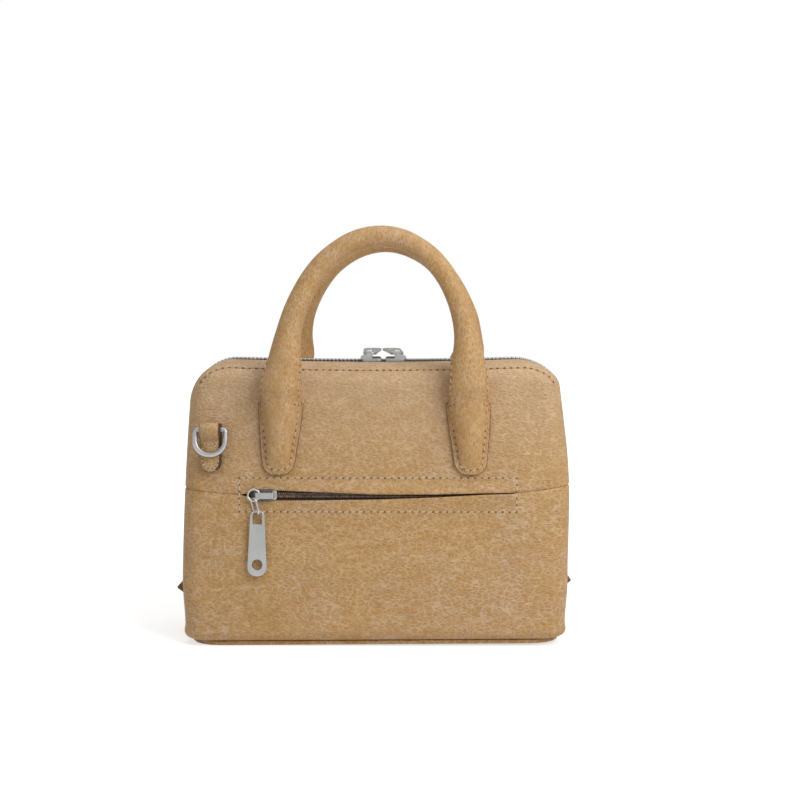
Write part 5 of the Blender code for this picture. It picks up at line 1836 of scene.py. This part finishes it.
def make_pocket_slider(seam):
    """A darker, rougher body, its darkness painted shade, with a bridge and an end in the plain
    satin metal.
    """
    mesh = softened_copy("pocket_slider", "pocket_slider_cast", POCKET_CAST_ROUND, 3)
    mesh.transform(seam.inverted())
    plate = max(vert.co.z for vert in mesh.vertices) - BRIDGE_RISE + BRIDGE_SINK
    far = max(vert.co.x for vert in mesh.vertices)
    for vert in mesh.vertices:
        if vert.co.z > plate:
            vert.co.y = vert.co.y * BRIDGE_SPREAD - BRIDGE_SHIFT
    # Bridge and far end keep the plain metal; the rest takes the darkened metal, painted shade on
    # the slider's body
    for face in mesh.polygons:
        bright = face.center.z > plate or face.center.x > far - BRIGHT_LENGTH
        face.material_index = 0 if bright else 1
    reach = max(vert.co.y for vert in mesh.vertices) - END_INSET
    near, tip = far - END_LENGTH, far + END_OVER
    corners = [(tip, reach), (near, reach), (near, -reach), (tip, -reach)]
    end = plate_mesh("slider_end", [rounded_loop(corners, [END_CORNER] * 4)], END_THICK, END_ROUND)
    end.transform(Matrix.Translation((0.0, 0.0, plate)))
    mesh = joined("pocket_slider_cast", mesh, end)
    mesh.transform(seam)
    make_metal("pocket_slider_cast", "pocket_slider", mesh, "metal dull")


def make_pocket_chain():
    """The pocket's slider, its ring, the link below and the puller plate."""
    seam = pocket_seam()
    make_pocket_slider(seam)
    hole = Vector((POCKET_SLIDER_X + CHAIN_HOLE_X, 0.0, CHAIN_RISE - POCKET_INSET))
    ring_place = seam @ Matrix.Translation(hole)
    path = []
    for step in range(48):
        angle = 2.0 * math.pi * step / 48
        x = PULL_RING_RADIUS * (math.cos(angle) - 1.0)
        path.append(Vector((x, PULL_RING_RADIUS * math.sin(angle), 0.0)))
    mesh = wire_mesh("pocket_ring_wire", path, PULL_RING_WIRE)
    mesh.transform(ring_place)
    make_metal("pocket_ring_wire", "pocket_pull_ring", mesh, "bright")
    link_place = ring_place @ Matrix.Translation((-PULL_RING_RADIUS, -PULL_RING_RADIUS, 0.0))
    path, bottom = link_loop()
    mesh = wire_mesh("pocket_link_wire", path, LINK_WIRE)
    mesh.transform(link_place @ Matrix.Rotation(LINK_LEAN, 4, "Z"))
    make_metal("pocket_link_wire", "pocket_pull_link", mesh, "bright")
    mesh = puller_mesh("pocket_puller_plate")
    hang = (-bottom * math.sin(LINK_LEAN), bottom + LINK_WIRE + LINK_BAR_RISE, 0.0)
    mesh.transform(link_place @ Matrix.Translation(hang))
    make_metal("pocket_puller_plate", "pocket_puller", mesh)


# The pocket's zip: two woven tapes and a fine coil

COIL_PITCH = 1.35 * MM
COIL_MARGIN = 4.0 * MM
COIL_ACROSS = 1.9 * MM
COIL_TALL = 1.3 * MM
COIL_LEVEL = 0.75 * MM
COIL_LENGTH_SHARE = 0.86
COIL_OFFSET_SHARE = 0.44
COIL_SLANT = 0.16
POCKET_TAPE_REACH = 9.5 * MM
POCKET_TAPE_RIB = 0.22 * MM


def make_pocket_tape(word, side):
    """A tape with a soft rib down its length."""
    seam = pocket_seam()
    half = shape().pocket_half
    near = side * TAPE_GAP
    middle = side * POCKET_TAPE_REACH * 0.4
    far = side * POCKET_TAPE_REACH
    top = -POCKET_INSET
    low = top - TAPE_THICK
    outline = [
        (near, top), (middle, top + POCKET_TAPE_RIB), (far, top),
        (far, low), (middle, low + POCKET_TAPE_RIB), (near, low),
    ]
    rings = []
    for step in range(61):
        x = mix(-half, half, step / 60.0)
        rings.append([seam @ Vector((x, y, z)) for y, z in outline])
    make_tape("pocket_tape_" + word, "pocket_zip_tape_" + word, rings)


def make_pocket_coil(word, side):
    """One row of the pocket's coil; the two rows take turns."""
    seam = pocket_seam()
    turn = seam.to_3x3()
    half = shape().pocket_half - COIL_MARGIN
    count = round(2.0 * half / COIL_PITCH)
    shift = COIL_PITCH / 2.0 if side == FRONT else 0.0
    places = []
    for index in range(count):
        x = -half + COIL_PITCH * index + shift
        y = side * COIL_ACROSS * COIL_OFFSET_SHARE
        place = seam @ Vector((x, y, COIL_LEVEL - POCKET_INSET))
        run = turn @ Vector((1.0, side * COIL_SLANT, 0.0))
        places.append((place, run, turn @ Vector((0.0, 0.0, 1.0))))
    size = (COIL_PITCH * COIL_LENGTH_SHARE, COIL_ACROSS, COIL_TALL)
    coil = repeats("pocket_coil_" + word, places, "bead", size, "coil")
    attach(coil, "bag")
    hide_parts("pocket_zip_teeth_" + word)


class SATCHEL_OT_top_zip(bpy.types.Operator):
    """Make the top zip's tapes and metal teeth, its two sliders and their pullers"""

    bl_idname = "satchel.top_zip"
    bl_label = "Top Zip"

    def execute(self, context):
        for word, side in SIDES:
            make_zip_tape(word, side)
            make_zip_teeth(word, side)
        make_top_slider("left", LEFT)
        make_top_slider("right", RIGHT)
        return {"FINISHED"}


class SATCHEL_OT_pocket_zip(bpy.types.Operator):
    """Make the pocket's tapes and coil, and its slider with ring, link and puller"""

    bl_idname = "satchel.pocket_zip"
    bl_label = "Pocket Zip"

    def execute(self, context):
        for word, side in (("lower", FRONT), ("upper", BACK)):
            make_pocket_tape(word, side)
            make_pocket_coil(word, side)
        make_pocket_chain()
        return {"FINISHED"}


# The base, the end tabs of the zip and the inside

BASE_ROUND = 0.6 * MM
END_TAB_ROUND = 0.4 * MM
RIGHT_TAB_SHIFT = (-2.3 * MM, 0.0, 4.0 * MM)
BOARD_ROUND = 0.2 * MM
RIPPLE = 0.25 * MM


def make_copy(node, material, width, segments=2, shift=(0.0, 0.0, 0.0)):
    """A rounded copy of a firm node."""
    mesh = softened_copy(node, node + "_cut", width, segments)
    for vert in mesh.vertices:
        vert.co += rest_shift(vert.co) + Vector(shift)
    piece = link(node + "_cut", mesh, MATERIALS[material])
    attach(piece, "bag")
    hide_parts(node)


def make_cloth(node):
    """A cloth piece: the node's sheet divided finely, with small ripples."""
    data = bmesh.new()
    data.from_mesh(NODES[node].data)
    bmesh.ops.remove_doubles(data, verts=data.verts[:], dist=WELD)
    bmesh.ops.join_triangles(
        data, faces=data.faces[:], angle_face_threshold=math.radians(25.0),
        angle_shape_threshold=math.radians(40.0),
    )
    bmesh.ops.subdivide_edges(data, edges=data.edges[:], cuts=2, use_grid_fill=True)
    for vert in data.verts:
        push = noise.noise(vert.co * 55.0) + 0.4 * noise.noise(vert.co * 130.0)
        vert.co += rest_shift(vert.co) + Vector((0.0, RIPPLE * push, 0.0))
    cloth = link(node + "_cloth", to_mesh(node + "_cloth", data, CREASE), MATERIALS["cloth"])
    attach(cloth, "bag")
    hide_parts(node)


class SATCHEL_OT_base(bpy.types.Operator):
    """Make the base panel and the two leather tabs at the ends of the top zip"""

    bl_idname = "satchel.base"
    bl_label = "Base and End Tabs"

    def execute(self, context):
        make_copy("base_panel", "leather", BASE_ROUND, 3)
        # The end tabs are wholly in the dark edge colour: real edge paint, and painted shade for the
        # hollow of the folded tab
        make_copy("zip_end_tab_left", "edge", END_TAB_ROUND, 3)
        make_copy("zip_end_tab_right", "edge", END_TAB_ROUND, 3, RIGHT_TAB_SHIFT)
        return {"FINISHED"}


class SATCHEL_OT_inside(bpy.types.Operator):
    """Make the linings, the slip pocket, the pouch and the base board"""

    bl_idname = "satchel.inside"
    bl_label = "Inside"

    def execute(self, context):
        for node in ("front_lining", "back_lining", "base_lining", "slip_pocket", "pocket_pouch"):
            make_cloth(node)
        make_copy("base_board", "board", BOARD_ROUND)
        return {"FINISHED"}


# The sewing

TOP_LINE_HEIGHT = 160.3 * MM
TOP_LINE_INSET = 3.0 * MM
TOP_LINE_FOOT = 151.0 * MM
TOP_PITCH = 3.9 * MM
TAB_PITCH = 3.9 * MM
FRAME_HALF = 79.35 * MM
FRAME_SHIFT = 1.65 * MM
FRAME_TOP = 97.0 * MM
FRAME_FOOT = 77.7 * MM
FRAME_PITCH = 4.0 * MM
SEWN_LIFT = 0.12 * MM
TAB_LINE_DROP = 1.5 * MM
TAB_PROBE = 0.2 * MM
BAR_DROP = 0.8 * MM
BAR_ENDS = (1.2 * MM, 4.4 * MM)
LEG_SEAM_START = 3.0 * MM
LEG_SEAM_DROP = 1.5 * MM
LEG_SEAM_POINTS = (3, ROLL_POINTS - 4)
RING_TAB_PITCH = 2.3 * MM
RING_TAB_INSET = 1.5 * MM
RING_BAR_UP = -8.2 * MM
RING_LOOP_UP = -9.6 * MM
RING_LOOP_FOOT = 1.7 * MM


def skin_surface(side):
    """A function that gives the skin's point and normal at (x, height)."""

    def surface(x, height):
        rise = skin_normal(x, height, side)
        return on_skin(x, height, side) + rise * SEWN_LIFT, rise

    return surface


def top_line():
    """The line of stitches below the top edge, turning down beside the corners."""
    corner = shape().corner_radius - (shape().body_height - TOP_LINE_HEIGHT)
    reach = side_half(TOP_LINE_HEIGHT) - TOP_LINE_INSET
    right = []
    for step in range(25):
        angle = math.pi / 2.0 * step / 24.0
        height = TOP_LINE_HEIGHT - corner + corner * math.sin(angle)
        if height >= TOP_LINE_FOOT:
            right.append((reach - corner + corner * math.cos(angle), height))
    right += [(mix(reach - corner, 0.0, step / 30.0), TOP_LINE_HEIGHT) for step in range(1, 31)]
    return [(-x, height) for x, height in right] + list(reversed(right[:-1]))


def straight_line(start, end, count):
    """Points an even step apart between two (x, height) pairs."""
    shares = [step / count for step in range(count + 1)]
    return [(mix(start[0], end[0], share), mix(start[1], end[1], share)) for share in shares]


def tab_surface(side, across):
    """The outer surface of a tab, from (distance from its middle, height)."""

    def place(x, height):
        out = face_out(height) + tab_away(x, height)
        return Vector((tab_centre(across, height) + x, side * out, height))

    def surface(x, height):
        step = TAB_PROBE
        over = place(x + step, height) - place(x - step, height)
        up = place(x, height + step) - place(x, height - step)
        rise = (over.cross(up) * -side).normalized()
        return place(x, height) + rise * SEWN_LIFT, rise

    return surface


def tab_line():
    """The seam inside a tab's edge: down one side, round the tip and up the other."""
    top = below_top(FLANGE_DROP) - TAB_LINE_DROP
    foot = below_top(TAB_DROP) + TAB_SEW_INSET
    right = []
    for step in range(33):
        height = mix(top, foot + TAB_TIP_LENGTH * 0.72, step / 32.0)
        right.append((tab_half(height) - TAB_SEW_INSET, height))
    reach, level = right[-1]
    for step in range(1, 13):
        angle = math.pi / 2.0 * step / 12.0
        right.append((reach * math.cos(angle) ** 0.9, level - (level - foot) * math.sin(angle)))
    return right + [(-x, height) for x, height in reversed(right[:-1])]


def leg_seams(side, across):
    """Short seams that run on from a tab up both sides of the round leg."""
    rings = tab_rings(side, across)
    legs = leg_rings(side)
    legs = legs[:12] if across == LEFT else list(reversed(legs))[:12]
    low = below_top(FLANGE_DROP) + LEG_SEAM_START
    high = below_top(LEG_SEAM_DROP)
    seams = []
    for index in LEG_SEAM_POINTS:
        path = []
        for ring in rings + legs:
            centre = sum(ring, Vector()) / len(ring)
            if low <= ring[index].z <= high:
                path.append((ring[index], (ring[index] - centre).normalized()))
        seams.append(path)
    return seams


def make_tab_sewing(word, side):
    """Sew both tabs of one handle: round the edge, two short bars and up the leg."""
    rows = []
    for across in (LEFT, RIGHT):
        surface = tab_surface(side, across)
        rows.append((tab_line(), surface))
        level = below_top(FLANGE_DROP) - BAR_DROP
        half = tab_half(level)
        for sign in (LEFT, RIGHT):
            start, end = [(sign * (half - inset), level) for inset in BAR_ENDS]
            rows.append((straight_line(start, end, 6), surface))
        for seam in leg_seams(side, across):
            table = dict(enumerate(seam))

            def found(index, unused, table=table):
                place, rise = table[index]
                return place + rise * SEWN_LIFT, rise

            rows.append(([(index, 0.0) for index in range(len(seam))], found))
    sew(word + "_tab", rows, TAB_PITCH, (word + "_handle", *bend_zone(side)))


def ring_tab_rows(side):
    """A short row across the folded tab and one round its tip."""
    turn = ring_matrix(side)
    level = -LOOP_RADIUS + FOLD_THICKNESS * 2.0 + FOLD_PLAY + SEWN_LIFT
    rise = turn.to_3x3() @ Vector((0.0, 0.0, 1.0))

    def surface(x, up):
        return turn @ Vector((x, up, level)), rise

    half = RING_TAB_HALF - RING_TAB_INSET
    bar = straight_line((-half, RING_BAR_UP), (half, RING_BAR_UP), 8)
    bend = -RING_TAB_LENGTH + RING_LOOP_FOOT + half
    loop = [(half, mix(RING_LOOP_UP, bend, step / 10.0)) for step in range(11)]
    for step in range(1, 12):
        angle = math.pi * step / 12.0
        loop.append((half * math.cos(angle), bend - half * math.sin(angle)))
    loop += [(-half, mix(bend, RING_LOOP_UP, step / 10.0)) for step in range(11)]
    return [(bar, surface), (loop, surface)]


class SATCHEL_OT_sewing(bpy.types.Operator):
    """Sew the top line, the pocket's frame, the handle tabs and the ring tabs"""

    bl_idname = "satchel.sewing"
    bl_label = "Sewing"

    def execute(self, context):
        for word, side in SIDES:
            row = (top_line(), skin_surface(side))
            sew(word + "_top", [row], TOP_PITCH, None, 1.5, "tan_thread", 0.7)
        left, right = FRAME_SHIFT - FRAME_HALF, FRAME_SHIFT + FRAME_HALF
        corners = [(left, FRAME_TOP), (right, FRAME_TOP), (right, FRAME_FOOT), (left, FRAME_FOOT)]
        front = skin_surface(FRONT)
        following = corners[1:] + corners[:1]
        sides = [(straight_line(start, end, 120), front) for start, end in zip(corners, following)]
        sew("pocket_frame", sides, FRAME_PITCH)
        for word, side in SIDES:
            make_tab_sewing(word, side)
            sew("ring_tab_" + word, ring_tab_rows(side), RING_TAB_PITCH, hole_share=0.7)
        return {"FINISHED"}


# The stage

CAMERA_PLACE = (0.0207, -0.792, 0.187)
CAMERA_YAW = math.radians(0.46)
CAMERA_PITCH = math.radians(3.40)
CAMERA_LENS = 59.7
FLOOR_GLOW = 0.62
WORLD_LIGHT = 0.22
GLOSSY_SHARE = 0.30
FLOOR_X = (-3.0, -1.0, 0.0, 1.0, 3.0)
FLOOR_Y = (-3.0, -1.0, -0.3, 0.0, 0.3, 1.0, 3.0, 6.0)
LAMP_TARGET = (0.0, 0.0, 0.11)
LAMPS = (
    ("key_lamp", (0.45, -0.50, 0.58), (0.45, 0.45), 3.6),
    ("fill_lamp", (-0.95, -0.85, 0.55), (0.9, 0.9), 1.3),
    ("top_lamp", (0.0, -0.05, 0.95), (0.9, 0.6), 2.6),
)


def background_rays(tree, dimmed=1.0):
    """A value of 1 for the camera and through glass, and a share of it in reflections."""
    path = tree.nodes.new("ShaderNodeLightPath")
    seen = tree.nodes.new("ShaderNodeMath")
    seen.operation = "MAXIMUM"
    tree.links.new(path.outputs["Is Camera Ray"], seen.inputs[0])
    tree.links.new(path.outputs["Is Transmission Ray"], seen.inputs[1])
    total = tree.nodes.new("ShaderNodeMath")
    total.operation = "MULTIPLY_ADD"
    total.inputs[1].default_value = dimmed
    total.use_clamp = True
    tree.links.new(path.outputs["Is Glossy Ray"], total.inputs[0])
    tree.links.new(seen.outputs["Value"], total.inputs[2])
    return total.outputs["Value"]


def stage_paper():
    """White paper that keeps the shadow near the satchel and runs out to plain white."""
    shader = Shader("stage_paper", roughness=0.9)
    place = shader.place()
    fibre = shader.noise(place, 120.0, 3.0).outputs["Fac"]
    shader.colour(shader.ramp(fibre, [(0.3, grey(0.80)), (0.7, grey(0.84))]))
    shader.normal(shader.bump(fibre, 0.00003))
    away = shader.add("ShaderNodeVectorMath", operation="LENGTH")
    shader.wire(place, away.inputs[0])
    glow = shader.ramp(away.outputs["Value"], [(0.22, grey(FLOOR_GLOW)), (0.60, WHITE)])
    rays = background_rays(shader.tree)
    shader.wire(shader.maths("MULTIPLY", glow, rays), shader.surface.inputs["Emission Strength"])
    shader.surface.inputs["Emission Color"].default_value = (1.0, 1.0, 1.0, 1.0)
    return shader.material


def light_world():
    """White to the camera and in reflections, dimmer for lighting."""
    world = bpy.data.worlds.new("studio")
    world.use_nodes = True
    tree = world.node_tree
    total = tree.nodes.new("ShaderNodeMath")
    total.operation = "ADD"
    total.inputs[1].default_value = WORLD_LIGHT
    total.use_clamp = True
    tree.links.new(background_rays(tree, GLOSSY_SHARE), total.inputs[0])
    back = tree.nodes["Background"]
    back.inputs["Color"].default_value = (1.0, 1.0, 1.0, 1.0)
    tree.links.new(total.outputs["Value"], back.inputs["Strength"])
    bpy.context.scene.world = world


def make_floor():
    """A wide floor, flat to its far edges."""
    rows = [[Vector((x, y, 0.0)) for x in FLOOR_X] for y in FLOOR_Y]
    floor = link("paper_floor", to_mesh("paper_floor", grid_data(rows)), stage_paper())


def add_lamp(name, place, size, power):
    """A soft lamp that looks at the middle of the satchel."""
    lamp = bpy.data.lights.new(name, "AREA")
    lamp.shape = "RECTANGLE"
    lamp.size, lamp.size_y = size
    lamp.energy = power
    holder = bpy.data.objects.new(name, lamp)
    bpy.context.scene.collection.objects.link(holder)
    holder.location = place
    look = Vector(LAMP_TARGET) - Vector(place)
    holder.rotation_euler = look.to_track_quat("-Z", "Y").to_euler()


class SATCHEL_OT_stage(bpy.types.Operator):
    """Set the pale floor, the soft lamps and the camera"""

    bl_idname = "satchel.stage"
    bl_label = "Stage"

    def execute(self, context):
        light_world()
        make_floor()
        for lamp in LAMPS:
            add_lamp(*lamp)
        camera = bpy.data.cameras.new("camera")
        camera.lens = CAMERA_LENS
        camera.sensor_width = 36.0
        camera.clip_start = 0.01
        holder = bpy.data.objects.new("camera", camera)
        bpy.context.scene.collection.objects.link(holder)
        holder.location = CAMERA_PLACE
        holder.rotation_euler = (math.pi / 2.0 - CAMERA_PITCH, 0.0, CAMERA_YAW)
        bpy.context.scene.camera = holder
        bpy.context.scene.view_settings.view_transform = "Standard"
        return {"FINISHED"}


class SATCHEL_PT_tools(bpy.types.Panel):
    """The satchel's steps, sizes and colours in the sidebar"""

    bl_idname = "SATCHEL_PT_tools"
    bl_label = "Satchel"
    bl_space_type = "VIEW_3D"
    bl_region_type = "UI"
    bl_category = "Satchel"

    def draw(self, context):
        for operator in STEPS:
            self.layout.operator(operator.bl_idname)
        for group in (context.scene.satchel_shape, context.scene.satchel_finish):
            box = self.layout.box()
            for name in group.__annotations__:
                box.prop(group, name)


STEPS = (
    SATCHEL_OT_panels,
    SATCHEL_OT_handles,
    SATCHEL_OT_rings,
    SATCHEL_OT_top_zip,
    SATCHEL_OT_pocket_zip,
    SATCHEL_OT_base,
    SATCHEL_OT_inside,
    SATCHEL_OT_sewing,
    SATCHEL_OT_stage,
)
CLASSES = (SatchelShape, SatchelFinish) + STEPS + (SATCHEL_PT_tools,)


def register():
    for item in CLASSES:
        bpy.utils.register_class(item)
    bpy.types.Scene.satchel_shape = bpy.props.PointerProperty(type=SatchelShape)
    bpy.types.Scene.satchel_finish = bpy.props.PointerProperty(type=SatchelFinish)


def unregister():
    del bpy.types.Scene.satchel_finish
    del bpy.types.Scene.satchel_shape
    for item in reversed(CLASSES):
        bpy.utils.unregister_class(item)


def main():
    """Make the whole satchel."""
    register()
    make_materials()
    for step in STEPS:
        group, word = step.bl_idname.split(".")
        getattr(getattr(bpy.ops, group), word)()


if __name__ == "__main__":
    main()
